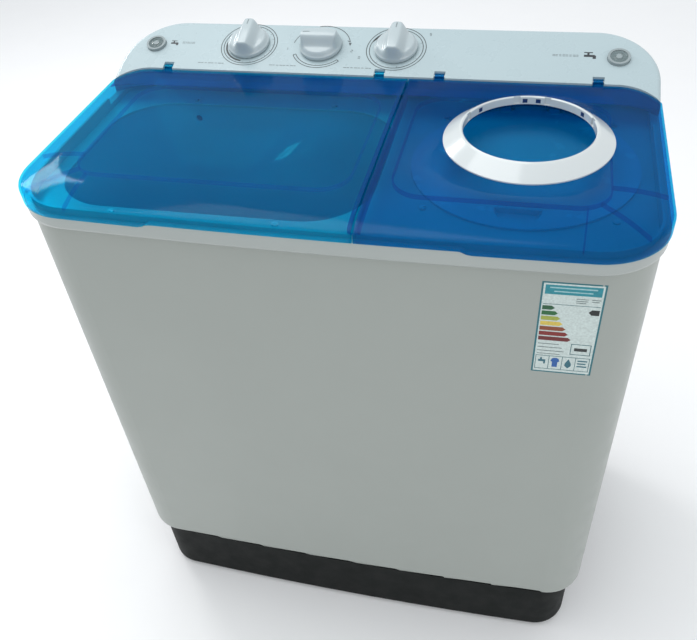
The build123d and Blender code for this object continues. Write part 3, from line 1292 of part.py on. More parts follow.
def make_gland():
    """Bush in the base's rear wall, where the supply cord would enter."""
    at = Pos(GLAND_X, BASE_BACK_Y, GLAND_Z) * Rot(90, 0, 0)
    body = at * Cylinder(GLAND_R, 14)
    body += Pos(GLAND_X, BASE_BACK_Y + 1.5, GLAND_Z) * Rot(90, 0, 0) * Cylinder(GLAND_R + 4, 3)
    return body - at * Cylinder(GLAND_BORE_R, 40)


# ================================================================ every node and how it is made

PARTS = {
    "base": make_base,
    "rubber_feet": make_feet,
    "cabinet": make_cabinet,
    "back_cover": make_back_cover,
    "casing_screws": lambda: make_cover_screws() + make_tub_screws(),
    "top_deck": make_top_deck,
    "wash_tub": make_wash_tub,
    "spin_tub": make_spin_tub,
    "overflow_filter_cover": make_filter_cover,
    "wash_lid": make_wash_lid,
    "spin_lid": make_spin_lid,
    "spin_lid_ring": make_ring,
    "spin_lid_window": make_window,
    "lid_hinge_pins": make_lid_pins,
    "spin_safety_lid": make_inner_lid,
    "safety_lid_hinge": make_inner_hinge,
    "control_panel": make_panel,
    "wash_timer": lambda: make_timer(KNOB_XS[0], True),
    "drain_selector": lambda: make_timer(KNOB_XS[1], False),
    "spin_timer": lambda: make_timer(KNOB_XS[2], True),
    "wash_timer_knob": lambda: make_knob(KNOB_XS[0], KNOB_TURNS[0]),
    "selector_knob": lambda: make_knob(KNOB_XS[1], KNOB_TURNS[1]),
    "spin_timer_knob": lambda: make_knob(KNOB_XS[2], KNOB_TURNS[2]),
    "wash_timer_shaft": lambda: make_shaft(KNOB_XS[0]),
    "selector_shaft": lambda: make_shaft(KNOB_XS[1]),
    "spin_timer_shaft": lambda: make_shaft(KNOB_XS[2]),
    "inlet_sockets": lambda: [make_inlet_socket(-1), make_inlet_socket(1)],
    "inlet_caps": lambda: [make_inlet_cap(-1), make_inlet_cap(1)],
    "wash_water_pipe": make_wash_pipe,
    "spin_water_pipe": make_spin_pipe,
    "pulsator": make_pulsator,
    "pulsator_shaft": make_pulsator_shaft,
    "shaft_housing": make_shaft_housing,
    "shaft_bushes": make_bushes,
    "shaft_seal": make_shaft_seal,
    "wash_pulley": lambda: pulley(WASH_X, WASH_Y, PULLEY_R, DRIVE_SHAFT_R, PULLEY_SPOKES),
    "motor_pulley": lambda: pulley(MOTOR_X, MOTOR_Y, MOTOR_PULLEY_R, MOTOR_SHAFT_R, 0),
    "drive_belt": make_belt,
    "motor_plate": make_motor_plate,
    "drive_bolts": lambda: make_plate_bolts() + make_motor_bolts(),
    "wash_motor": make_wash_motor,
    "wash_motor_rotor": make_wash_rotor,
    "spin_basket": make_basket,
    "spin_shaft": make_spin_shaft,
    "spin_motor": make_spin_motor,
    "spin_motor_rotor": make_spin_rotor,
    "spin_motor_plate": make_spin_plate,
    "spin_motor_dampers": make_dampers,
    "brake_drum": make_drum,
    "spin_bellows_seal": make_bellows,
    "spin_bearing": make_spin_bearing,
    "brake_pivot": make_brake_post,
    "brake_lever": make_brake_lever,
    "drain_valve": make_valve_body,
    "drain_plug": lambda: make_valve_plug() + make_valve_stem(),
    "drain_hose": make_drain_hose,
    "spin_drain_hose": make_spin_hose,
    "drain_outlet": make_outlet,
    "capacitor": make_capacitor,
    "cord_gland": make_gland,
}

os.makedirs("parts", exist_ok=True)
for part_name, make in PARTS.items():
    made = make()
    save(part_name, *(made if isinstance(made, list) else [made]))
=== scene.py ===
import json
from math import atan, atan2, cos, hypot, pi, radians, sin, sqrt, tau

import bmesh
import bpy
from mathutils import Matrix, Vector
from mathutils.bvhtree import BVHTree
from mathutils.geometry import delaunay_2d_cdt


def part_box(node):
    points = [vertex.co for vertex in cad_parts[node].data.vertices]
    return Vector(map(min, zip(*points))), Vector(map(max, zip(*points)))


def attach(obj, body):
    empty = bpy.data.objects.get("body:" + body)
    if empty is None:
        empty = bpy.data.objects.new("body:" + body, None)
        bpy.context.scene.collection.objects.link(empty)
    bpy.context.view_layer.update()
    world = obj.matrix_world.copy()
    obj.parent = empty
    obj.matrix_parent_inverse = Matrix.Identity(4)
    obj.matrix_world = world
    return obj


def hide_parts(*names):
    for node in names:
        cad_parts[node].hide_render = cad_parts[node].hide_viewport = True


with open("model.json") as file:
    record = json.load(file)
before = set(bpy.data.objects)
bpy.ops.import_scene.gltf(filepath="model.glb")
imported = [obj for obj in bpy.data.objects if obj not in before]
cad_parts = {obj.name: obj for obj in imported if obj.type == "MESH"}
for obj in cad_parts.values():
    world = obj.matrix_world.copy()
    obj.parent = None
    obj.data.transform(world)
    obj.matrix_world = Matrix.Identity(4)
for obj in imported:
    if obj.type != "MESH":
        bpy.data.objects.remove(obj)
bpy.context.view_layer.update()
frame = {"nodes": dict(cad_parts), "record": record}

nodes = frame["nodes"]
MM = 0.001
NOISE_ROUGHNESS = 0.55

# ---------------------------------------------------------------- camera

CAMERA_AT = Vector((0.2232, -0.8238, 1.2440))
CAMERA_RIGHT = Vector((0.97156, 0.22662, -0.06808))
CAMERA_UP = Vector((-0.10393, 0.66720, 0.73757))
CAMERA_LENS = 39.705


def make_camera():
    """The camera that was fitted to the photo's outline."""
    data = bpy.data.cameras.new("camera")
    data.lens = CAMERA_LENS
    data.sensor_width = 36.0
    data.clip_start = 0.05
    data.clip_end = 40.0
    camera = bpy.data.objects.new("camera", data)
    back = CAMERA_RIGHT.cross(CAMERA_UP).normalized()
    right = CAMERA_UP.cross(back).normalized()
    turn = Matrix((right, back.cross(right), back)).transposed()
    camera.matrix_world = Matrix.Translation(CAMERA_AT) @ turn.to_4x4()
    bpy.context.scene.collection.objects.link(camera)
    bpy.context.scene.camera = camera


make_camera()

# ---------------------------------------------------------------- materials


class Paint:
    """A node-based material: a Principled shader with its colour, roughness and bump from noise."""

    def __init__(self, name):
        self.material = bpy.data.materials.new(name)
        self.material.use_nodes = True
        self.tree = self.material.node_tree
        self.shader = self.tree.nodes["Principled BSDF"]
        self.out = self.tree.nodes["Material Output"]
        self.where = self.add("ShaderNodeTexCoord").outputs["Object"]

    def add(self, kind, **values):
        node = self.tree.nodes.new(kind)
        for key, value in values.items():
            setattr(node, key, value)
        return node

    def link(self, a, b):
        self.tree.links.new(a, b)

    def noise(self, scale, detail=3.0, stretch=None):
        node = self.add("ShaderNodeTexNoise")
        node.inputs["Scale"].default_value = scale
        node.inputs["Detail"].default_value = detail
        node.inputs["Roughness"].default_value = NOISE_ROUGHNESS
        source = self.where
        if stretch:
            mapping = self.add("ShaderNodeMapping")
            mapping.inputs["Scale"].default_value = stretch
            self.link(source, mapping.inputs["Vector"])
            source = mapping.outputs["Vector"]
        self.link(source, node.inputs["Vector"])
        return node.outputs["Fac"]

    def ramp(self, fac, stops):
        node = self.add("ShaderNodeValToRGB")
        while len(node.color_ramp.elements) < len(stops):
            node.color_ramp.elements.new(0.5)
        for element, (place, colour) in zip(node.color_ramp.elements, stops):
            element.position = place
            element.color = (*colour, 1.0)
        self.link(fac, node.inputs["Fac"])
        return node.outputs["Color"]

    def spread(self, fac, low, high):
        node = self.add("ShaderNodeMapRange")
        node.inputs["From Min"].default_value = 0.3
        node.inputs["From Max"].default_value = 0.7
        node.inputs["To Min"].default_value = low
        node.inputs["To Max"].default_value = high
        self.link(fac, node.inputs["Value"])
        return node.outputs["Result"]

    def bump(self, height, distance, strength=0.5, before=None):
        node = self.add("ShaderNodeBump")
        node.inputs["Strength"].default_value = strength
        node.inputs["Distance"].default_value = distance
        self.link(height, node.inputs["Height"])
        if before:
            self.link(before, node.inputs["Normal"])
        return node.outputs["Normal"]

    def set(self, **values):
        for key, value in values.items():
            self.shader.inputs[key.replace("_", " ")].default_value = value


def shade(colour, factor):
    """A colour made lighter or darker."""
    return tuple(min(1.0, c * factor) for c in colour)


def plastic(name, colour, rough=0.32, grain=900.0, depth=0.02, mottle=0.05, wave=0.0, coat=0.0,
        specular=0.5):
    """Moulded plastic: faint flow marks in its colour, a fine grain, and sink marks where wave is set."""
    p = Paint(name)
    broad = p.noise(7.0, 4.0)
    stops = [(0.3, shade(colour, 1 - mottle)), (0.7, shade(colour, 1 + mottle))]
    p.link(p.ramp(broad, stops), p.shader.inputs["Base Color"])
    fine = p.noise(grain, 2.0)
    p.link(p.spread(p.noise(38.0, 5.0), rough * 0.88, rough * 1.14), p.shader.inputs["Roughness"])
    normal = p.bump(fine, depth * MM, 0.6)
    if wave:
        normal = p.bump(p.noise(9.0, 1.0), wave * MM, 1.0, normal)
    p.link(normal, p.shader.inputs["Normal"])
    p.set(Coat_Weight=coat, Coat_Roughness=0.08, Specular_IOR_Level=specular)
    return p.material


def metal(name, colour, rough=0.35, stretch=(1.0, 1.0, 12.0), scale=160.0):
    """Plated or machined metal with drawn marks and a little tarnish."""
    p = Paint(name)
    marks = p.noise(scale, 4.0, stretch)
    tarnish = p.noise(14.0, 5.0)
    tone = p.ramp(tarnish, [(0.35, shade(colour, 0.82)), (0.65, colour)])
    p.link(tone, p.shader.inputs["Base Color"])
    p.link(p.spread(marks, rough * 0.7, rough * 1.35), p.shader.inputs["Roughness"])
    p.link(p.bump(marks, 0.03 * MM, 0.5), p.shader.inputs["Normal"])
    p.set(Metallic=1.0)
    return p.material


def painted(name, colour, rough=0.38):
    """Stove enamel on steel: orange peel and dust."""
    p = Paint(name)
    peel = p.noise(260.0, 2.0)
    dust = p.noise(11.0, 6.0)
    tone = p.ramp(dust, [(0.3, shade(colour, 0.92)), (0.7, shade(colour, 1.05))])
    p.link(tone, p.shader.inputs["Base Color"])
    p.link(p.spread(dust, rough * 0.85, rough * 1.25), p.shader.inputs["Roughness"])
    p.link(p.bump(peel, 0.04 * MM, 0.7), p.shader.inputs["Normal"])
    return p.material


def rubber(name, colour, rough=0.7):
    """Rubber with bloom and a matt skin."""
    p = Paint(name)
    bloom = p.noise(24.0, 6.0)
    tone = p.ramp(bloom, [(0.35, shade(colour, 0.8)), (0.7, shade(colour, 1.35))])
    p.link(tone, p.shader.inputs["Base Color"])
    p.link(p.spread(bloom, rough * 0.85, min(1.0, rough * 1.2)), p.shader.inputs["Roughness"])
    p.link(p.bump(p.noise(700.0, 3.0), 0.05 * MM, 0.8), p.shader.inputs["Normal"])
    return p.material


def ink(name, colour, rough=0.45):
    """Printing ink, a little uneven."""
    p = Paint(name)
    wear = p.noise(420.0, 4.0)
    tone = p.ramp(wear, [(0.25, shade(colour, 0.85)), (0.75, shade(colour, 1.2))])
    p.link(tone, p.shader.inputs["Base Color"])
    p.link(p.spread(wear, rough * 0.8, rough * 1.3), p.shader.inputs["Roughness"])
    p.link(p.bump(wear, 0.01 * MM, 0.5), p.shader.inputs["Normal"])
    return p.material


def tinted(name, tint, body, solid, rough=0.07, wave=0.25):
    """Clear tinted plastic: light passes through it coloured, and a share of it is the body's own colour."""
    p = Paint(name)
    broad = p.noise(5.0, 3.0)
    p.link(p.ramp(broad, [(0.3, shade(body, 0.9)), (0.7, shade(body, 1.12))]), p.shader.inputs["Base Color"])
    p.link(p.spread(p.noise(60.0, 4.0), rough * 0.75, rough * 1.4), p.shader.inputs["Roughness"])
    normal = p.bump(p.noise(1200.0, 2.0), 0.004 * MM, 0.5)
    normal = p.bump(p.noise(11.0, 1.0), wave * MM, 1.0, normal)
    p.link(normal, p.shader.inputs["Normal"])
    p.set(Specular_IOR_Level=0.6)
    clear = p.add("ShaderNodeBsdfTransparent")
    p.link(p.ramp(broad, [(0.3, shade(tint, 0.96)), (0.7, tint)]), clear.inputs["Color"])
    mix = p.add("ShaderNodeMixShader")
    mix.inputs["Fac"].default_value = solid
    p.link(clear.outputs["BSDF"], mix.inputs[1])
    p.link(p.shader.outputs["BSDF"], mix.inputs[2])
    p.link(mix.outputs["Shader"], p.out.inputs["Surface"])
    return p.material


LID_TINT = (0.15, 0.89, 1.0)
SPIN_TINT = (0.09, 0.70, 0.91)
LID_BODY = (0.001, 0.16, 0.46)
WHITE = (0.37, 0.40, 0.385)

SLOTS = {
    "base_plastic": plastic("base_plastic", (0.006, 0.0075, 0.007), 0.6, 700.0, 0.10, 0.15, specular=0.15),
    "foot_rubber": rubber("foot_rubber", (0.02, 0.02, 0.02)),
    "cabinet_plastic": plastic("cabinet_plastic", (0.325, 0.35, 0.325), 0.36, 800.0, 0.015, 0.012, 0.25),
    "cover_steel": painted("cover_steel", (0.36, 0.385, 0.38)),
    "zinc_steel": metal("zinc_steel", (0.62, 0.62, 0.58), 0.32),
    "deck_plastic": plastic("deck_plastic", WHITE, 0.22, 900.0, 0.008, 0.015, 0.1),
    "tub_plastic": plastic("tub_plastic", (0.33, 0.45, 0.50), 0.35, 800.0, 0.02, 0.02),
    "filter_plastic": plastic("filter_plastic", (0.12, 0.15, 0.18), 0.4),
    "lid_tint": tinted("lid_tint", LID_TINT, LID_BODY, 0.15),
    "ring_plastic": plastic("ring_plastic", (0.60, 0.64, 0.64), 0.16, 1400.0, 0.004, 0.012, 0.05, 0.3),
    "safety_lid_plastic": plastic("safety_lid_plastic", (0.30, 0.42, 0.46), 0.25, 900.0, 0.01, 0.02),
    "panel_plastic": plastic("panel_plastic", (0.39, 0.485, 0.51), 0.28, 1100.0, 0.008, 0.018, 0.01),
    "timer_case": plastic("timer_case", (0.45, 0.44, 0.42), 0.45),
    "knob_plastic": plastic("knob_plastic", (0.42, 0.49, 0.51), 0.2, 1400.0, 0.004, 0.015, 0.0, 0.2),
    "shaft_steel": metal("shaft_steel", (0.6, 0.6, 0.58), 0.25),
    "inlet_plastic": plastic("inlet_plastic", (0.26, 0.31, 0.32), 0.25, 900.0, 0.01, 0.06),
    "hose_rubber": rubber("hose_rubber", (0.12, 0.125, 0.13), 0.6),
    "pulsator_plastic": plastic("pulsator_plastic", (0.10, 0.22, 0.50), 0.22, 900.0, 0.01, 0.06),
    "housing_alloy": metal("housing_alloy", (0.58, 0.59, 0.60), 0.5, (1.0, 1.0, 1.0), 90.0),
    "bush_brass": metal("bush_brass", (0.62, 0.45, 0.20), 0.3),
    "seal_rubber": rubber("seal_rubber", (0.015, 0.015, 0.015), 0.55),
    "motor_steel": painted("motor_steel", (0.06, 0.065, 0.07), 0.45),
    "valve_plastic": plastic("valve_plastic", (0.03, 0.03, 0.032), 0.42, 700.0, 0.05, 0.1),
    "capacitor_case": plastic("capacitor_case", (0.66, 0.66, 0.60), 0.4, 700.0, 0.02, 0.05),
}
CLEAR_WINDOW = tinted("window_tint", (0.26, 0.82, 0.97), (0.003, 0.14, 0.36), 0.14, 0.05, 0.35)
SPIN_CLEAR = tinted("spin_lid_tint", SPIN_TINT, LID_BODY, 0.15)
INLET_CLEAR = tinted("inlet_tint", (0.80, 0.86, 0.86), (0.30, 0.36, 0.37), 0.35, 0.12)
# a dark tint that paints shade, for the band along the lids' rear and the rib along their seam
SHADE_BAND_TINT = tinted("painted_shade_band_tint", (0.22, 0.52, 0.90), (0.002, 0.05, 0.24), 0.35)
INK = ink("dial_ink", (0.035, 0.045, 0.05))
PALE_INK = ink("pale_ink", (0.17, 0.205, 0.215))
DARK_INK = ink("dark_ink", (0.02, 0.025, 0.03))

for part in frame["record"]["subparts"]:
    node = nodes[part["node"]]
    node.data.materials.clear()
    node.data.materials.append(SLOTS[part["material_slot"]])

# ---------------------------------------------------------------- mesh helpers


def piece(name, verts, faces, material, body, slot, replaces=None, smooth=True, sharp=40.0):
    """A mesh object that rides on a body. Its faces are turned to point outwards."""
    mesh = bpy.data.meshes.new(name)
    mesh.from_pydata([tuple(v) for v in verts], [], faces)
    work = bmesh.new()
    work.from_mesh(mesh)
    bmesh.ops.remove_doubles(work, verts=work.verts, dist=0.002 * MM)
    bmesh.ops.recalc_face_normals(work, faces=work.faces)
    work.to_mesh(mesh)
    work.free()
    obj = bpy.data.objects.new(name, mesh)
    bpy.context.scene.collection.objects.link(obj)
    mesh.materials.append(material)
    if smooth:
        mesh.shade_smooth()
        mesh.set_sharp_from_angle(angle=radians(sharp))
    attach(obj, body)
    if replaces:
        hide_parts(replaces)
    return obj


def lathe(centre, profile, steps):
    """Verts and faces of a turned form, from a closed profile of (radius, height) points."""
    rings = []
    for i in range(steps):
        a = tau * i / steps
        rings.append([(centre[0] + r * cos(a), centre[1] + r * sin(a), z) for r, z in profile])
    n = len(profile)
    verts = [v for ring in rings for v in ring]
    faces = []
    for i in range(steps):
        j = (i + 1) % steps
        for k in range(n):
            m = (k + 1) % n
            faces.append((i * n + k, j * n + k, j * n + m, i * n + m))
    return verts, faces


# ---------------------------------------------------------------- lids

wash_lo, wash_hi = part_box("wash_lid")
spin_lo, spin_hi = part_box("spin_lid")
ring_lo, ring_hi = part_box("spin_lid_ring")

HALF_W = spin_hi.x
BOW = 8 * MM
FRONT = wash_lo.y + BOW
CORNER_R = 78 * MM
BOW_R = (HALF_W ** 2 + BOW ** 2) / (2 * BOW)
BOW_Y = FRONT - BOW + BOW_R
CORNER_X = HALF_W - CORNER_R
CORNER_Y = BOW_Y - sqrt((BOW_R - CORNER_R) ** 2 - CORNER_X ** 2)
CORNER_END = atan2(CORNER_Y - BOW_Y, CORNER_X)
LID_BOTTOM = wash_lo.z
LID_TOP = ring_lo.z
CROWN = 7 * MM
CROWN_W = 56 * MM
CROWN_POWER = 2.1
SHELL = 2.6 * MM
WALL = 13 * MM
FOLD_IN = 3.2 * MM
EDGE_IN = 1.0 * MM
REAR = 121.5 * MM
EAR_X = 315 * MM
EAR_Y = 58.5 * MM
EAR_R = 63 * MM
RAISE = 4 * MM
RAISE_SPAN = (-179 * MM, 161 * MM)
RAISE_SLANT = 9 * MM
SKIRT_BACK = FRONT - BOW + 3.1 * MM
RING_AT = ((ring_lo.x + ring_hi.x) / 2, (ring_lo.y + ring_hi.y) / 2)
RING_R = (ring_hi.x - ring_lo.x) / 2
RING_LIP = 12 * MM
SIDE_STEPS = 24
CORNER_STEPS = 20
FRONT_STEPS = 40
INNER_STEPS = 30
HOLE_STEPS = 96
FOLD_STEPS = 5
WALL_STEPS = 3
INSETS = [FOLD_IN] + [d * MM for d in (4.5, 6.5, 9, 12, 16, 21, 27, 34, 42, 50, 56)]
RAISE_TO = FRONT + 40 * MM


def crown_drop(d):
    """How far the lid's top lies below its flat middle, at a distance d from its outer edge."""
    return CROWN * max(0.0, 1 - d / CROWN_W) ** CROWN_POWER


def crown_slope(d):
    """The slope of the lid's top at the same distance."""
    return CROWN * CROWN_POWER / CROWN_W * max(0.0, 1 - d / CROWN_W) ** (CROWN_POWER - 1)


def edge_curve(d, seam):
    """The lid's edge moved inwards by d, from its rear end round the corner to the seam, for x > 0."""
    x = HALF_W - d
    y_end = EAR_Y + sqrt(EAR_R ** 2 - (x - EAR_X) ** 2) if x > EAR_X else REAR
    points = [(x, y_end + (CORNER_Y - y_end) * i / SIDE_STEPS) for i in range(SIDE_STEPS)]
    r = CORNER_R - d
    for i in range(CORNER_STEPS + 1):
        a = CORNER_END * i / CORNER_STEPS
        points.append((CORNER_X + r * cos(a), CORNER_Y + r * sin(a)))
    x_from = points[-1][0]
    for i in range(1, FRONT_STEPS + 1):
        x = x_from + (seam - x_from) * i / FRONT_STEPS
        points.append((x, BOW_Y - sqrt((BOW_R - d) ** 2 - x ** 2)))
    return points


def lid(name, body, side, seam, material, hole=None):
    """One lid as a shell: its crowned top, the skirt round it and the low walls at the seam and the rear."""
    flip = -1 if side < 0 else 1
    seam_in = seam * flip + EDGE_IN
    curves = [edge_curve(d, seam_in) for d in INSETS]
    verts, faces, index = [], [], {}

    def vert(x, y, z):
        key = (round(x * 1e7), round(y * 1e7), round(z * 1e7))
        if key not in index:
            index[key] = len(verts)
            verts.append((x * flip, y, z))
        return index[key]

    rows = []
    for d, curve in zip(INSETS, curves):
        ids = []
        for i, (x, y) in enumerate(curve):
            if i == 0:
                y -= EDGE_IN
            ids.append(vert(x, y, LID_TOP - crown_drop(d)))
        rows.append(ids)
    for a, b in zip(rows, rows[1:]):
        for i in range(len(a) - 1):
            faces.append((a[i], a[i + 1], b[i + 1], b[i]))
    inner = [Vector((verts[v][0] * flip, verts[v][1])) for v in rows[-1]]
    rear_y = REAR - EDGE_IN
    rear_end = Vector((seam_in, rear_y))
    rear = [inner[0].lerp(rear_end, i / INNER_STEPS) for i in range(1, INNER_STEPS)]
    seam_run = inner[-1].y - rear_y
    seam_line = [Vector((seam_in, rear_y + seam_run * i / INNER_STEPS)) for i in range(INNER_STEPS)]
    loop = rear + seam_line
    points = inner + loop[::-1]
    outline_edges = [(i, (i + 1) % len(points)) for i in range(len(points))]
    if hole:
        first = len(points)
        for i in range(HOLE_STEPS):
            a = tau * i / HOLE_STEPS
            points.append(Vector((hole[0] * flip + hole[2] * cos(a), hole[1] + hole[2] * sin(a))))
        outline_edges += [(first + i, first + (i + 1) % HOLE_STEPS) for i in range(HOLE_STEPS)]
    out_points, _, out_faces, _, _, _ = delaunay_2d_cdt(points, outline_edges, [], 1, 1e-6)
    ids = [vert(p.x, p.y, LID_TOP) for p in out_points]
    for f in out_faces:
        middle = sum((out_points[i] for i in f), Vector((0, 0))) / len(f)
        if hole and hypot(middle.x - hole[0] * flip, middle.y - hole[1]) < hole[2] - 0.1 * MM:
            continue
        faces.append(tuple(ids[i] for i in f))
    # the walls hang from the boundary, in order: outer edge, seam, rear
    boundary = []
    for i, v in enumerate(rows[0]):
        x, y, _ = verts[v]
        x *= flip
        px, py = curves[0][max(0, i - 1)]
        qx, qy = curves[0][min(len(curves[0]) - 1, i + 1)]
        t = Vector((qx - px, qy - py)).normalized()
        n = Vector((-t.y, t.x))
        if n.dot(Vector((x - 0.2, y))) < 0:
            n = -n
        slope = atan(crown_slope(FOLD_IN))
        boundary.append([v, n, FOLD_IN / (1 - sin(slope)), slope, "outer"])
    boundary[0][1] = Vector((1, 0.3 / 3.2))
    boundary[-1][1] = Vector((-EDGE_IN / FOLD_IN, -1))
    seam_ids = [r[-1] for r in rows[1:]] + [vert(p.x, p.y, LID_TOP) for p in seam_line[::-1]]
    for v in seam_ids:
        boundary.append([v, Vector((-1, 0)), EDGE_IN, 0.0, "seam"])
    boundary[-1][1] = Vector((-1, 1))
    for p in rear[::-1]:
        boundary.append([vert(p.x, p.y, LID_TOP), Vector((0, 1)), EDGE_IN, 0.0, "rear"])
    for r in rows[:0:-1]:
        x = verts[r[0]][0] * flip
        if x > EAR_X:
            n = Vector((x - EAR_X, verts[r[0]][1] - EAR_Y)).normalized()
            boundary.append([r[0], n, EDGE_IN, 0.0, "ear"])
        else:
            boundary.append([r[0], Vector((0, 1)), EDGE_IN, 0.0, "rear"])
    chains = []
    for v, n, r, slope, kind in boundary:
        x, y, z = verts[v]
        x *= flip
        chain = [v]
        for k in range(1, FOLD_STEPS + 1):
            a = slope + (pi / 2 - slope) * k / FOLD_STEPS
            out = r * (sin(a) - sin(slope))
            chain.append(vert(x + n.x * out, y + n.y * out, z - r * (cos(slope) - cos(a))))
        out = r * (1 - sin(slope))
        ex, ey, ez = x + n.x * out, y + n.y * out, z - r * cos(slope)
        low = LID_TOP - WALL
        if kind in ("outer", "ear"):
            low = LID_BOTTOM
            if ey < RAISE_TO:
                real_x = ex * flip
                past = max(RAISE_SPAN[0] - real_x, real_x - RAISE_SPAN[1])
                low += RAISE * min(1.0, max(0.0, 1 - past / RAISE_SLANT))
        elif kind == "seam" and ey < SKIRT_BACK:
            low = LID_BOTTOM + RAISE
        for k in range(1, WALL_STEPS + 1):
            chain.append(vert(ex, ey, ez + (low - ez) * k / WALL_STEPS))
        chains.append(chain)
    for i in range(len(chains)):
        a, b = chains[i], chains[(i + 1) % len(chains)]
        for k in range(len(a) - 1):
            quad = [a[k], a[k + 1], b[k + 1], b[k]]
            if len(set(quad)) > 2:
                faces.append(tuple(dict.fromkeys(quad)))
    obj = piece(name, verts, faces, material, body, "lid_tint", body, sharp=50.0)
    up = max(obj.data.polygons, key=lambda f: f.area)
    if up.normal.z < 0:
        obj.data.flip_normals()
    shell = obj.modifiers.new("thickness", "SOLIDIFY")
    shell.thickness = SHELL - 0.2 * MM
    shell.offset = -1.0
    shell.use_even_offset = True


SEAM_WASH = wash_hi.x
SEAM_SPIN = spin_lo.x
lid("blue_wash_lid", "wash_lid", -1, SEAM_WASH, SLOTS["lid_tint"])
lid("blue_spin_lid", "spin_lid", 1, SEAM_SPIN, SPIN_CLEAR, (*RING_AT, RING_R - RING_LIP))

# ---------------------------------------------------------------- under and behind the lids

SEAM_X = (SEAM_WASH + SEAM_SPIN) / 2
HINGE_Y = 130 * MM
HINGE_Z = LID_TOP + 0.5 * MM
EYE_R = 3.6 * MM
EYE_BORE = 1.72 * MM
EYE_EDGE = 0.4 * MM
EYE_STEPS = 40
LUG_W = 12 * MM
ARM_TOP = HINGE_Z - 0.6 * MM
ARM_T = 3.2 * MM
LUG_END = 76 * MM
LUG_SEAM = 40 * MM
RIB_T = 1.6 * MM
RIB_H = 5 * MM
RIB_IN = 62 * MM
RIB_R = 36 * MM
RIB_RUN = 8 * MM
RIB_SEAM = 22 * MM
RIB_EDGE = 6 * MM
CORNER_CUT = 0.3
DIAGONAL = (0.72, 0.69)
SIDE_RIB = (42 * MM, 39 * MM)
FRONT_RIB = (24 * MM, 27 * MM)
LOOP_STEPS = 10
BAND_STEPS = 40
BAND_T = 0.8 * MM
SEAM_BAND_IN = 4.5 * MM
SEAM_BAND_T = 3 * MM
SEAM_BAND_H = 7 * MM
STRIP_FROM = 80 * MM
STRIP_TO = 118.5 * MM
THROAT_R = 73.85 * MM
SLOT_ANGLES = (38.0, 84.5, 96.5, 142.0)
SLOT_SPAN = 2.2
SLOT_Z = (ring_hi.z - 8.2 * MM, ring_hi.z - 3.2 * MM)


def edge_distance(x, y):
    """How far a point of a lid lies inside its outer edge."""
    x = abs(x)
    if x > CORNER_X and y < CORNER_Y:
        return CORNER_R - hypot(x - CORNER_X, y - CORNER_Y)
    return min(HALF_W - x, BOW_R - hypot(x, BOW_Y - y))


def under_lid(x, y):
    """The height of the lid's underside above a point."""
    return LID_TOP - crown_drop(max(edge_distance(x, y), FOLD_IN)) - SHELL + 0.1 * MM


def join(parts):
    """Several (verts, faces) pairs as one."""
    verts, faces = [], []
    for v, f in parts:
        base = len(verts)
        verts += v
        faces += [tuple(i + base for i in face) for face in f]
    return verts, faces


def divided(points, step, closed=False):
    """A polyline with extra points, so that no run is longer than a step."""
    out = []
    pairs = list(zip(points, points[1:] + points[:1] if closed else points[1:]))
    for a, b in pairs:
        a, b = Vector(a), Vector(b)
        count = max(1, round((b - a).length / step))
        out += [a.lerp(b, i / count) for i in range(count)]
    if not closed:
        out.append(Vector(points[-1]))
    return out


def rib(points, closed=False, thick=RIB_T, deep=RIB_H):
    """A thin rib under a lid, along a path of (x, y) points."""
    path = divided(points, RIB_RUN, closed)
    n = len(path)
    verts, faces = [], []
    for i, p in enumerate(path):
        a = path[i - 1] if closed or i > 0 else p
        b = path[(i + 1) % n] if closed or i < n - 1 else p
        t = (b - a).normalized()
        side = Vector((-t.y, t.x)) * thick / 2
        top = under_lid(p.x, p.y)
        low = top - deep
        for q, z in ((p + side, top), (p + side, low), (p - side, low), (p - side, top)):
            verts.append((q.x, q.y, z))
    for i in range(n if closed else n - 1):
        j = (i + 1) % n
        for k in range(4):
            m = (k + 1) % 4
            faces.append((i * 4 + k, j * 4 + k, j * 4 + m, i * 4 + m))
    if not closed:
        faces += [(0, 1, 2, 3), (4 * n - 1, 4 * n - 2, 4 * n - 3, 4 * n - 4)]
    return verts, faces


def round_loop(x0, x1, y0, y1, r):
    """A rectangle with round corners, as (x, y) points."""
    out = []
    corners = ((x1 - r, y1 - r, 0), (x0 + r, y1 - r, 1), (x0 + r, y0 + r, 2), (x1 - r, y0 + r, 3))
    for cx, cy, quarter in corners:
        for i in range(LOOP_STEPS + 1):
            a = (quarter + i / LOOP_STEPS) * pi / 2
            out.append((cx + r * cos(a), cy + r * sin(a)))
    return out


def painted_shade_strip(x_from, side):
    """Painted shade along a lid's rear: a dark band, a second thin layer under its top, where the deck below
    lies in shade.
    """
    run = side * (HALF_W - RIB_EDGE) - x_from
    verts, faces = [], []
    for i in range(BAND_STEPS + 1):
        x = x_from + run * i / BAND_STEPS
        reach = STRIP_TO
        if abs(x) > EAR_X:
            reach = EAR_Y + sqrt((EAR_R - 3 * MM) ** 2 - (abs(x) - EAR_X) ** 2)
        top = under_lid(x, reach) - 0.3 * MM
        for y, z in ((STRIP_FROM, top), (reach, top), (reach, top - BAND_T), (STRIP_FROM, top - BAND_T)):
            verts.append((x, y, z))
    for i in range(BAND_STEPS):
        for k in range(4):
            m = (k + 1) % 4
            faces.append((i * 4 + k, i * 4 + 4 + k, i * 4 + 4 + m, i * 4 + m))
    last = len(verts)
    return verts, faces + [(0, 1, 2, 3), (last - 1, last - 2, last - 3, last - 4)]


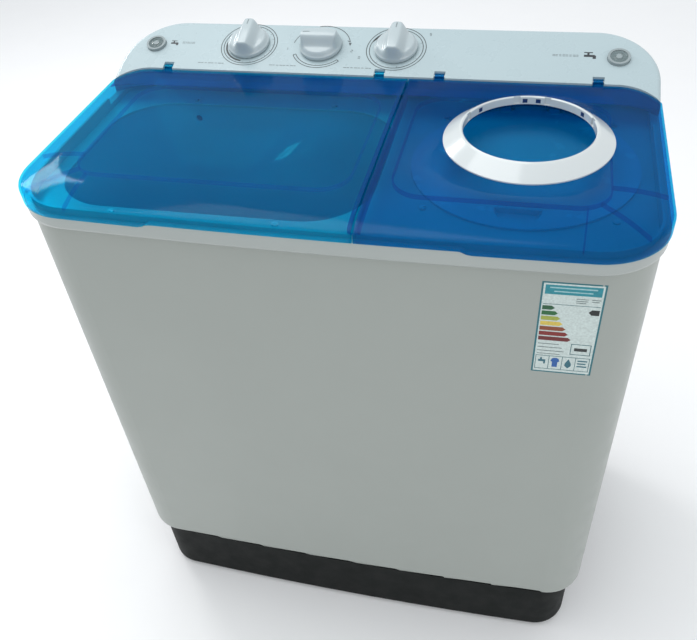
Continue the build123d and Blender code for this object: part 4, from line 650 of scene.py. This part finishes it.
def lug(x):
    """A hinge lug: the eye round the pin and the arm from the lid's rear edge."""
    half = LUG_W / 2
    ring = [(EYE_BORE, -half), (EYE_R - EYE_EDGE, -half), (EYE_R, -half + EYE_EDGE),
        (EYE_R, half - EYE_EDGE), (EYE_R - EYE_EDGE, half), (EYE_BORE, half)]
    tube, faces = lathe((HINGE_Y, HINGE_Z), ring, EYE_STEPS)
    eye = ([(x + v[2], v[0], v[1]) for v in tube], faces)
    profile = [(REAR - 4 * MM, LID_TOP - 6 * MM), (REAR, LID_TOP - 6 * MM),
        (REAR + 0.4 * MM, ARM_TOP - ARM_T), (HINGE_Y - 3 * MM, ARM_TOP - ARM_T),
        (HINGE_Y - 3 * MM, ARM_TOP), (REAR - 3.5 * MM, ARM_TOP), (REAR - 4 * MM, ARM_TOP - 0.5 * MM)]
    n = len(profile)
    verts = [(x + s * half, y, z) for s in (-1, 1) for y, z in profile]
    sides = [(i, (i + 1) % n, n + (i + 1) % n, n + i) for i in range(n)]
    arm = (verts, sides + [tuple(range(n)), tuple(range(2 * n - 1, n - 1, -1))])
    return join([eye, arm])


def lid_details(name, side, seam, material, lugs):
    """The ribs, the dark bands of painted shade and the lugs of one lid."""
    inner, outer = seam + side * RIB_SEAM, side * (HALF_W - RIB_IN)
    x0, x1 = min(inner, outer), max(inner, outer)
    front = FRONT + RIB_IN
    loop = round_loop(x0, x1, front, STRIP_FROM - 1 * MM, RIB_R)
    if side > 0:
        loop = [p for p in loop if hypot(p[0] - RING_AT[0], p[1] - RING_AT[1]) > RING_R + 5 * MM]
    corner = (outer - side * RIB_R * CORNER_CUT, front + RIB_R * CORNER_CUT)
    reach = CORNER_R - RIB_EDGE
    diagonal = (side * (CORNER_X + reach * DIAGONAL[0]), CORNER_Y - reach * DIAGONAL[1])
    ribs = [rib(loop, True), rib([corner, diagonal])]
    to_side = [(outer, front + SIDE_RIB[0]), (side * (HALF_W - RIB_EDGE), front + SIDE_RIB[1])]
    to_front = [(outer - side * FRONT_RIB[0], front), (outer - side * FRONT_RIB[1], FRONT - 2 * MM)]
    ribs += [rib(to_side), rib(to_front)]
    piece(name + "_ribs", *join(ribs), material, name, "lid_tint")
    # painted shade: a dark band under the rear of the lid
    piece(name + "_painted_shade_band", *painted_shade_strip(seam + side * 2 * MM, side), SHADE_BAND_TINT, name, "lid_tint")
    # painted shade along the seam: a dark rib in the same dark tint
    seam_x = seam + side * SEAM_BAND_IN
    ends = [(seam_x, FRONT + 1 * MM), (seam_x, STRIP_FROM - 1 * MM)]
    edge = rib(ends, False, SEAM_BAND_T, SEAM_BAND_H)
    piece(name + "_seam", *edge, SHADE_BAND_TINT, name, "lid_tint")
    piece(name + "_lugs", *join([lug(x) for x in lugs]), material, name, "lid_tint")


wash_lugs = (-HALF_W + LUG_END, SEAM_X - LUG_SEAM)
spin_lugs = (SEAM_X + LUG_SEAM, HALF_W - LUG_END)
lid_details("wash_lid", -1, SEAM_WASH, SLOTS["lid_tint"], wash_lugs)
lid_details("spin_lid", 1, SEAM_SPIN, SPIN_CLEAR, spin_lugs)

# Painted shade: dark patches on the ring's throat where its notches sit, in place of cut notches.
slot_shade_patches = ([], [])
for middle in SLOT_ANGLES:
    arcs = [radians(middle + k) for k in (-SLOT_SPAN, -SLOT_SPAN / 3, SLOT_SPAN / 3, SLOT_SPAN)]
    around = [(RING_AT[0] + THROAT_R * cos(a), RING_AT[1] + THROAT_R * sin(a)) for a in arcs]
    verts = [(*p, z) for p in around for z in SLOT_Z]
    slot_shade_patches = join([slot_shade_patches, (verts, [(2 * k, 2 * k + 1, 2 * k + 3, 2 * k + 2) for k in range(3)])])
piece("ring_slot_shade_patches", *slot_shade_patches, ink("slot_shade", (0.006, 0.03, 0.12)), "spin_lid", "ring_plastic")
window = nodes["spin_lid_window"]
window.data.materials.clear()
window.data.materials.append(CLEAR_WINDOW)

# ---------------------------------------------------------------- knobs

joints = {j["name"]: j for j in frame["record"]["behaviour"]["joints"]}
KNOBS = (("wash_timer_turn", "wash_timer_knob", False), ("selector_turn", "selector_knob", True),
    ("spin_timer_turn", "spin_timer_knob", False))
NORMAL = -Vector(joints["wash_timer_turn"]["axis"])
ALONG = Vector((1, 0, 0))
UPHILL = NORMAL.cross(ALONG)
KNOB_R = 29.4 * MM
KNOB_H = 25.9 * MM
GRIP_HALF = 10.5 * MM
FLANK = 14.5 * MM
RIM_H = 6 * MM
RIM_FROM = 23.5 * MM
RIM_POWER = 1.3
GRIP_WAIST = 0.18
GRIP_FILLET = (4.5 * MM, 6.0 * MM)
FLANK_FALL = 3.5 * MM
GRIP_FALL = (1.4 * MM, 1.2 * MM)
KNOB_STEPS = 120
FACE_RADII = [i * 1.5 * MM for i in range(1, 15)] + [(21.5 + 0.7 * i) * MM for i in range(12)]
UNDER_R = 28.6 * MM
BORE_R = 8 * MM
UNDERSIDE = ((KNOB_R, 5.6), (KNOB_R, 2.4), (UNDER_R, 2.0), (UNDER_R, 0.9), (BORE_R, 0.9))
MARK_POINTS = 9
MARK_FROM = 12
MARK_STEP = 1.2
MARK_HALF = 0.7 * MM
MARK_LIFT = 0.08 * MM


def on_panel(at, u, v, h):
    """The point u along the panel, v up its slope and h above it, from a point at."""
    return at + ALONG * u + UPHILL * v + NORMAL * h


def smoothstep(a, b, x):
    """0 below a, 1 above b, and a smooth rise between."""
    t = min(1.0, max(0.0, (x - a) / (b - a)))
    return t * t * (3 - 2 * t)


def knob_height(across, along):
    """The height of the knob's face: a rounded grip between two hollowed flanks, over a turned rim."""
    r = hypot(across, along)
    half = GRIP_HALF * (1 - GRIP_WAIST * (along / KNOB_R) ** 2)
    grip = 1 - smoothstep(half - GRIP_FILLET[0], half + GRIP_FILLET[1], abs(across))
    flank = FLANK - FLANK_FALL * (r / KNOB_R) ** 2
    top = KNOB_H - GRIP_FALL[0] * (along / KNOB_R) ** 2 - GRIP_FALL[1] * (across / half) ** 2 * grip
    face = flank + (top - flank) * grip
    fall = smoothstep(RIM_FROM, KNOB_R, r) ** RIM_POWER
    return face + (RIM_H - face) * fall


def knob(name, body, at, turn):
    """A knob as one closed form with its pale mark; turn lays the grip along the panel."""
    verts = [on_panel(at, 0, 0, knob_height(0, 0))]
    rings = []
    for r in FACE_RADII:
        ring = []
        for i in range(KNOB_STEPS):
            a = tau * i / KNOB_STEPS
            u, v = r * cos(a), r * sin(a)
            across, along = (v, u) if turn else (u, v)
            ring.append(len(verts))
            verts.append(on_panel(at, u, v, knob_height(across, along)))
        rings.append(ring)
    for r, h in UNDERSIDE:
        ring = []
        for i in range(KNOB_STEPS):
            a = tau * i / KNOB_STEPS
            ring.append(len(verts))
            verts.append(on_panel(at, r * cos(a), r * sin(a), h * MM))
        rings.append(ring)
    faces = [(0, rings[0][i], rings[0][(i + 1) % KNOB_STEPS]) for i in range(KNOB_STEPS)]
    for a, b in zip(rings, rings[1:]):
        for i in range(KNOB_STEPS):
            j = (i + 1) % KNOB_STEPS
            faces.append((a[i], b[i], b[j], a[j]))
    piece(name, verts, faces, SLOTS["knob_plastic"], body, "knob_plastic", body, sharp=55.0)
    mark = []
    for k in range(MARK_POINTS):
        along = (MARK_FROM + MARK_STEP * k) * MM
        for across in (-MARK_HALF, MARK_HALF):
            u, v = (-along, across) if turn else (across, along)
            mark.append(on_panel(at, u, v, knob_height(across, along) + MARK_LIFT))
    quads = [(2 * k, 2 * k + 1, 2 * k + 3, 2 * k + 2) for k in range(MARK_POINTS - 1)]
    piece(name + "_mark", mark, quads, PALE_INK, body, "knob_plastic")


for joint, body, turn in KNOBS:
    knob(body + "_grip", body, Vector(joints[joint]["pos_m"]), turn)

# ---------------------------------------------------------------- dials and marks printed on the panel

PRINT = 0.12 * MM
DIAL_IN = 36.5 * MM
DIAL_OUT = 40.5 * MM
LINE = 1.05 * MM
DIGIT_H = 4.2 * MM
DIGIT_LINE = 0.5 * MM
DIGIT_PITCH = 3.2 * MM
RULE_PARTS = 8
RULE_PITCH = 2.2 * MM


def arc(r0, r1, a0, a1):
    """A printed ring or part of one round the dial's middle, between two radii; angles in degrees."""
    steps = max(4, round(abs(a1 - a0) / 4))
    verts, faces = [], []
    for i in range(steps + 1):
        a = radians(a0 + (a1 - a0) * i / steps)
        verts += [(r0 * cos(a), r0 * sin(a)), (r1 * cos(a), r1 * sin(a))]
    return verts, [(2 * i, 2 * i + 1, 2 * i + 3, 2 * i + 2) for i in range(steps)]


def bar(u0, v0, u1, v1, width=LINE):
    a, b = Vector((u0, v0)), Vector((u1, v1))
    t = (b - a).normalized()
    side = Vector((-t.y, t.x)) * width / 2
    return [tuple(p) for p in (a + side, a - side, b - side, b + side)], [(0, 1, 2, 3)]


def polygon(points):
    return list(points), [tuple(range(len(points)))]


def line_circle(r, a0=0, a1=360, width=LINE):
    return arc(r - width / 2, r + width / 2, a0, a1)


def polar(r, a):
    return r * cos(radians(a)), r * sin(radians(a))


SEGMENTS = {"0": "abcdef", "1": "bc", "2": "abged", "5": "afgcd"}


def digit(sign, u, v):
    """A plain number made of straight strokes."""
    w, h = DIGIT_H * 0.5, DIGIT_H
    ends = {"a": (0, h, w, h), "b": (w, h, w, h / 2), "c": (w, h / 2, w, 0), "d": (0, 0, w, 0),
        "e": (0, 0, 0, h / 2), "f": (0, h / 2, 0, h), "g": (0, h / 2, w, h / 2)}
    out = []
    for key in SEGMENTS[sign]:
        a, b, c, d = ends[key]
        out.append(bar(u + a, v + b, u + c, v + d, DIGIT_LINE))
    return join(out)


def number(text, u, v):
    return join([digit(sign, u + DIGIT_PITCH * i, v) for i, sign in enumerate(text)])


def printed(name, at, shapes, material):
    """Flat shapes of (u, v) points laid on the panel round a point."""
    verts, faces = join(shapes)
    placed = [on_panel(at, u, v, PRINT) for u, v in verts]
    obj = piece(name, placed, faces, material, "casing", "panel_plastic", smooth=False)
    for face in obj.data.polygons:
        if face.normal.dot(NORMAL) < 0:
            face.flip()


def strips(u, v, length, height, rows=1):
    """Pale broken rules where a dial's caption sits."""
    out = []
    for row in range(rows):
        at = u
        for k in range(RULE_PARTS):
            run = length / RULE_PARTS * (0.62 if k % 3 else 0.86)
            out.append(bar(at, v - row * RULE_PITCH, at + run, v - row * RULE_PITCH, height))
            at += length / RULE_PARTS
    return out


def tap(u, v, s):
    """A small tap seen from the side."""
    body = [(-5, -1.2), (3, -1.2), (3, -3.5), (6, -3.5), (6, 0.3), (4.6, 1.6), (-5, 1.6)]
    parts = [polygon([(u + a * s, v + b * s) for a, b in body])]
    parts.append(polygon([(u + a * s, v + b * s) for a, b in ((-2, 1.6), (0, 1.6), (0, 4), (-2, 4))]))
    parts.append(polygon([(u + a * s, v + b * s) for a, b in ((-5, 4), (3, 4), (3, 5.2), (-5, 5.2))]))
    return join(parts)


first = Vector(joints["wash_timer_turn"]["pos_m"])
second = Vector(joints["selector_turn"]["pos_m"])
third = Vector(joints["spin_timer_turn"]["pos_m"])
dial = [line_circle(DIAL_IN), line_circle(DIAL_OUT), arc(31.2 * MM, 33.6 * MM, 170, 262)]
for k in range(16):
    a = 130 - 18.5 * k
    dial.append(bar(*polar(33.6 * MM, a), *polar(35.6 * MM, a), 0.4 * MM))
printed("wash_dial", first, dial, INK)
dial = [line_circle(DIAL_OUT, 148, 172, 0.8 * MM)]
dial.append(bar(*polar(DIAL_OUT, 148), *polar(DIAL_OUT - 4 * MM, 150), 0.8 * MM))
dial += [line_circle(DIAL_OUT, 14, 104), bar(*polar(DIAL_OUT, 14), *polar(DIAL_OUT - 3 * MM, 20))]
dial += [line_circle(DIAL_OUT, 206, 318), line_circle(DIAL_IN, 206, 318)]
dial += [bar(*polar(DIAL_IN, a), *polar(DIAL_OUT, a)) for a in (206, 318)]
dial += [polygon([polar(DIAL_OUT - 2 * MM, 12), polar(DIAL_OUT + 2 * MM, 12), polar(DIAL_OUT, 4)])]
dial += [number("1", -49 * MM, -8 * MM), number("2", 43.5 * MM, -9 * MM)]
printed("selector_dial", second, dial, INK)
dial = [line_circle(DIAL_IN), line_circle(DIAL_OUT)]
dial += [number("5", 42 * MM, 27 * MM), number("0", -49 * MM, -21 * MM)]
for k in range(6):
    a = 120 - 50 * k
    dial.append(bar(*polar(33.4 * MM, a), *polar(35.6 * MM, a), 0.45 * MM))
printed("spin_dial", third, dial, INK)
wedge = [polar(36.2 * MM, 134 + 3 * k) for k in range(10)]
wedge += [polar((35.6 - 0.45 * k) * MM, 161 - 3 * k) for k in range(10)]
printed("spin_wedge", third, [polygon(wedge)], DARK_INK)
captions = []
for at in (first, second, third):
    off = at.x - second.x
    captions += strips(off - 66 * MM, -38.5 * MM, 40 * MM, 1.3 * MM)
printed("captions", second, captions, PALE_INK)
caps_lo, caps_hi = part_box("inlet_caps")
INLET_R = 14 * MM
INLET_FACE = 3.2 * MM
INLET_RINGS = ((0.0, 0.0), (2.6, 0.0), (3.2, 0.7), (4.0, 0.9), (4.8, 0.2), (7.6, 0.1), (8.2, 0.7),
    (8.9, 0.7), (9.4, 0.1), (10.6, 0.0), (10.6, -0.2), (0.0, -0.2))
left_inlet = Vector((caps_lo.x + INLET_R, 0, 0))
right_inlet = Vector((caps_hi.x - INLET_R, 0, 0))
for name, at in (("left_inlet_face", left_inlet), ("right_inlet_face", right_inlet)):
    centre = Vector((at.x, (caps_lo.y + caps_hi.y) / 2, (caps_lo.z + caps_hi.z) / 2))
    centre += NORMAL * (INLET_FACE - (centre - first).dot(NORMAL))
    verts, faces = lathe((0, 0), [(r * MM, h * MM) for r, h in INLET_RINGS], 64)
    placed = [on_panel(centre, u, v, h) for u, v, h in verts]
    piece(name, placed, faces, INLET_CLEAR, "casing", "inlet_plastic")
printed("left_tap", second, [tap(left_inlet.x + 26 * MM - second.x, -2 * MM, 1.05 * MM)], DARK_INK)
printed("right_tap", second, [tap(right_inlet.x - 36 * MM - second.x, -3 * MM, 1.35 * MM)], DARK_INK)
rules = strips(left_inlet.x + 38 * MM - second.x, 1 * MM, 20 * MM, 0.9 * MM, 2)
printed("left_tap_rules", second, rules, PALE_INK)
rules = strips(right_inlet.x - 82 * MM - second.x, -2 * MM, 34 * MM, 0.9 * MM, 2)
printed("right_tap_rules", second, rules, PALE_INK)

# ---------------------------------------------------------------- sticker on the cabinet

STICKER_X = (244.5 * MM, 309 * MM)
STICKER_Z = (604 * MM, 735 * MM)
STICKER_LIFT = 0.10 * MM
LAYER = 0.05 * MM
cabinet = nodes["cabinet"]
cabinet_tree = BVHTree.FromObject(cabinet, bpy.context.evaluated_depsgraph_get())
to_cabinet = cabinet.matrix_world.inverted()


def on_front(u, v, lift):
    """A point of the sticker, u from its left and v from its top as shares of its size."""
    x = STICKER_X[0] + (STICKER_X[1] - STICKER_X[0]) * u
    z = STICKER_Z[1] - (STICKER_Z[1] - STICKER_Z[0]) * v
    start = to_cabinet @ Vector((x, -1.0, z))
    way = (to_cabinet.to_3x3() @ Vector((0, 1, 0))).normalized()
    hit = cabinet.matrix_world @ cabinet_tree.ray_cast(start, way)[0]
    return (x, hit.y - lift, z)


def decal(name, shapes, colour, layer):
    """Flat shapes of (u, v) points printed on the sticker, one layer over another."""
    verts, faces = [], []
    for points in shapes:
        base = len(verts)
        verts += [on_front(u, v, STICKER_LIFT + LAYER * layer) for u, v in points]
        faces.append(tuple(range(base, base + len(points))))
    material = ink(name + "_ink", colour, 0.35)
    obj = piece(name, verts, faces, material, "casing", "cabinet_plastic", smooth=False)
    for face in obj.data.polygons:
        if face.normal.y > 0:
            face.flip()


def rect(u0, u1, v0, v1, columns=1):
    """A rectangle cut into columns, so that it follows the bow of the cabinet."""
    out = []
    for i in range(columns):
        a = u0 + (u1 - u0) * i / columns
        b = u0 + (u1 - u0) * (i + 1) / columns
        out.append([(a, v0), (b, v0), (b, v1), (a, v1)])
    return out


ARROWS = (
    ((0.008, 0.085, 0.03), 0.20),
    ((0.010, 0.115, 0.03), 0.26),
    ((0.30, 0.34, 0.05), 0.31),
    ((0.60, 0.46, 0.08), 0.36),
    ((0.22, 0.05, 0.015), 0.42),
    ((0.19, 0.012, 0.010), 0.47),
    ((0.13, 0.010, 0.010), 0.53),
)
ARROW_LEFT, ARROW_TOP, ARROW_STEP, ARROW_H = 0.05, 0.245, 0.056, 0.044
decal("label_edge", rect(0, 1, 0, 1, 8), (0.01, 0.13, 0.16), 0)
decal("label_paper", rect(0.03, 0.97, 0.014, 0.986, 8), (0.52, 0.60, 0.58), 1)
decal("label_head", rect(0.06, 0.94, 0.03, 0.125, 8), (0.01, 0.22, 0.27), 2)
rules = rect(0.13, 0.86, 0.05, 0.063, 4) + rect(0.2, 0.8, 0.088, 0.099, 4)
decal("label_head_rules", rules, (0.30, 0.50, 0.52), 3)
greys = rect(0.56, 0.75, 0.155, 0.162) + rect(0.56, 0.75, 0.175, 0.182) + rect(0.56, 0.72, 0.195, 0.202)
greys += rect(0.80, 0.94, 0.155, 0.162) + rect(0.80, 0.92, 0.175, 0.182) + rect(0.06, 0.40, 0.66, 0.668)
greys += rect(0.06, 0.46, 0.70, 0.708) + rect(0.06, 0.50, 0.74, 0.748) + rect(0.06, 0.44, 0.775, 0.782)
decal("label_rules", greys, (0.12, 0.16, 0.16), 2)
for i, (colour, reach) in enumerate(ARROWS):
    v0 = ARROW_TOP + ARROW_STEP * i
    v1 = v0 + ARROW_H
    tip = (reach + 0.05, (v0 + v1) / 2)
    arrow = [(ARROW_LEFT, v0), (reach, v0), tip, (reach, v1), (ARROW_LEFT, v1)]
    decal("label_bar_%d" % (i + 1), [arrow], colour, 2)
pointer = [(0.78, 0.29), (0.83, 0.262), (0.95, 0.262), (0.95, 0.318), (0.83, 0.318)]
decal("label_pointer", [pointer], (0.01, 0.012, 0.012), 2)
frames = rect(0.60, 0.93, 0.645, 0.652) + rect(0.60, 0.93, 0.762, 0.769)
frames += rect(0.60, 0.612, 0.645, 0.769) + rect(0.918, 0.93, 0.645, 0.769)
frames += rect(0.05, 0.95, 0.225, 0.230, 4) + rect(0.05, 0.95, 0.800, 0.806, 4)
frames += rect(0.05, 0.95, 0.955, 0.961, 4)
for u in (0.05, 0.27, 0.49, 0.71, 0.938):
    frames += rect(u, u + 0.010, 0.80, 0.96)
decal("label_frames", frames, (0.01, 0.10, 0.12), 2)
decal("label_value", rect(0.66, 0.87, 0.69, 0.725), (0.02, 0.025, 0.025), 2)
shirt = [(0.325, 0.83), (0.36, 0.822), (0.40, 0.822), (0.435, 0.83), (0.455, 0.862), (0.425, 0.872),
    (0.425, 0.93), (0.335, 0.93), (0.335, 0.872), (0.305, 0.862)]
decal("label_shirt", [shirt], (0.01, 0.09, 0.32), 2)
drop = [(0.60, 0.825), (0.65, 0.875), (0.655, 0.905), (0.60, 0.935), (0.545, 0.905), (0.55, 0.875)]
icons = [
    [(0.10, 0.85), (0.22, 0.85), (0.22, 0.90), (0.19, 0.90), (0.19, 0.875), (0.10, 0.875)],
    [(0.13, 0.828), (0.16, 0.828), (0.16, 0.85), (0.13, 0.85)],
]
icons += rect(0.75, 0.91, 0.83, 0.845) + rect(0.75, 0.89, 0.862, 0.877) + rect(0.75, 0.91, 0.895, 0.910)
decal("label_icons", [drop] + icons, (0.02, 0.12, 0.16), 2)

# ---------------------------------------------------------------- stage


FLOOR_HALF = 9.0
LAMPS_AT = Vector((0, 0, 0.6))
LAMPS = (
    ("key", (-0.5, 0.15, 2.6), 1.6, 20.0),
    ("fill", (1.6, -1.8, 2.0), 1.8, 9.0),
    ("edge", (-1.9, 1.3, 1.93), 0.6, 13.0),
)


def make_stage():
    """The white floor, the light round the object and the three lamps."""
    mesh = bpy.data.meshes.new("floor")
    half = FLOOR_HALF
    corners = [(-half, -half, 0), (half, -half, 0), (half, half, 0), (-half, half, 0)]
    mesh.from_pydata(corners, [], [(0, 1, 2, 3)])
    floor = bpy.data.objects.new("floor", mesh)
    bpy.context.scene.collection.objects.link(floor)
    floor_paint = plastic("floor_paint", (0.95, 0.95, 0.95), 0.8, 60.0, 0.02, 0.005, specular=0.2)
    mesh.materials.append(floor_paint)
    world = bpy.data.worlds.new("studio")
    bpy.context.scene.world = world
    world.use_nodes = True
    light = world.node_tree.nodes["Background"].inputs
    light["Color"].default_value = (0.94, 0.97, 1.0, 1.0)
    light["Strength"].default_value = 0.84
    for name, at, size, power in LAMPS:
        data = bpy.data.lights.new(name, "AREA")
        data.size = size
        data.energy = power
        lamp = bpy.data.objects.new(name, data)
        lamp.location = at
        lamp.rotation_mode = "QUATERNION"
        lamp.rotation_quaternion = (LAMPS_AT - Vector(at)).to_track_quat("-Z", "Y")
        bpy.context.scene.collection.objects.link(lamp)
    bpy.context.scene.view_settings.view_transform = "Standard"


make_stage()
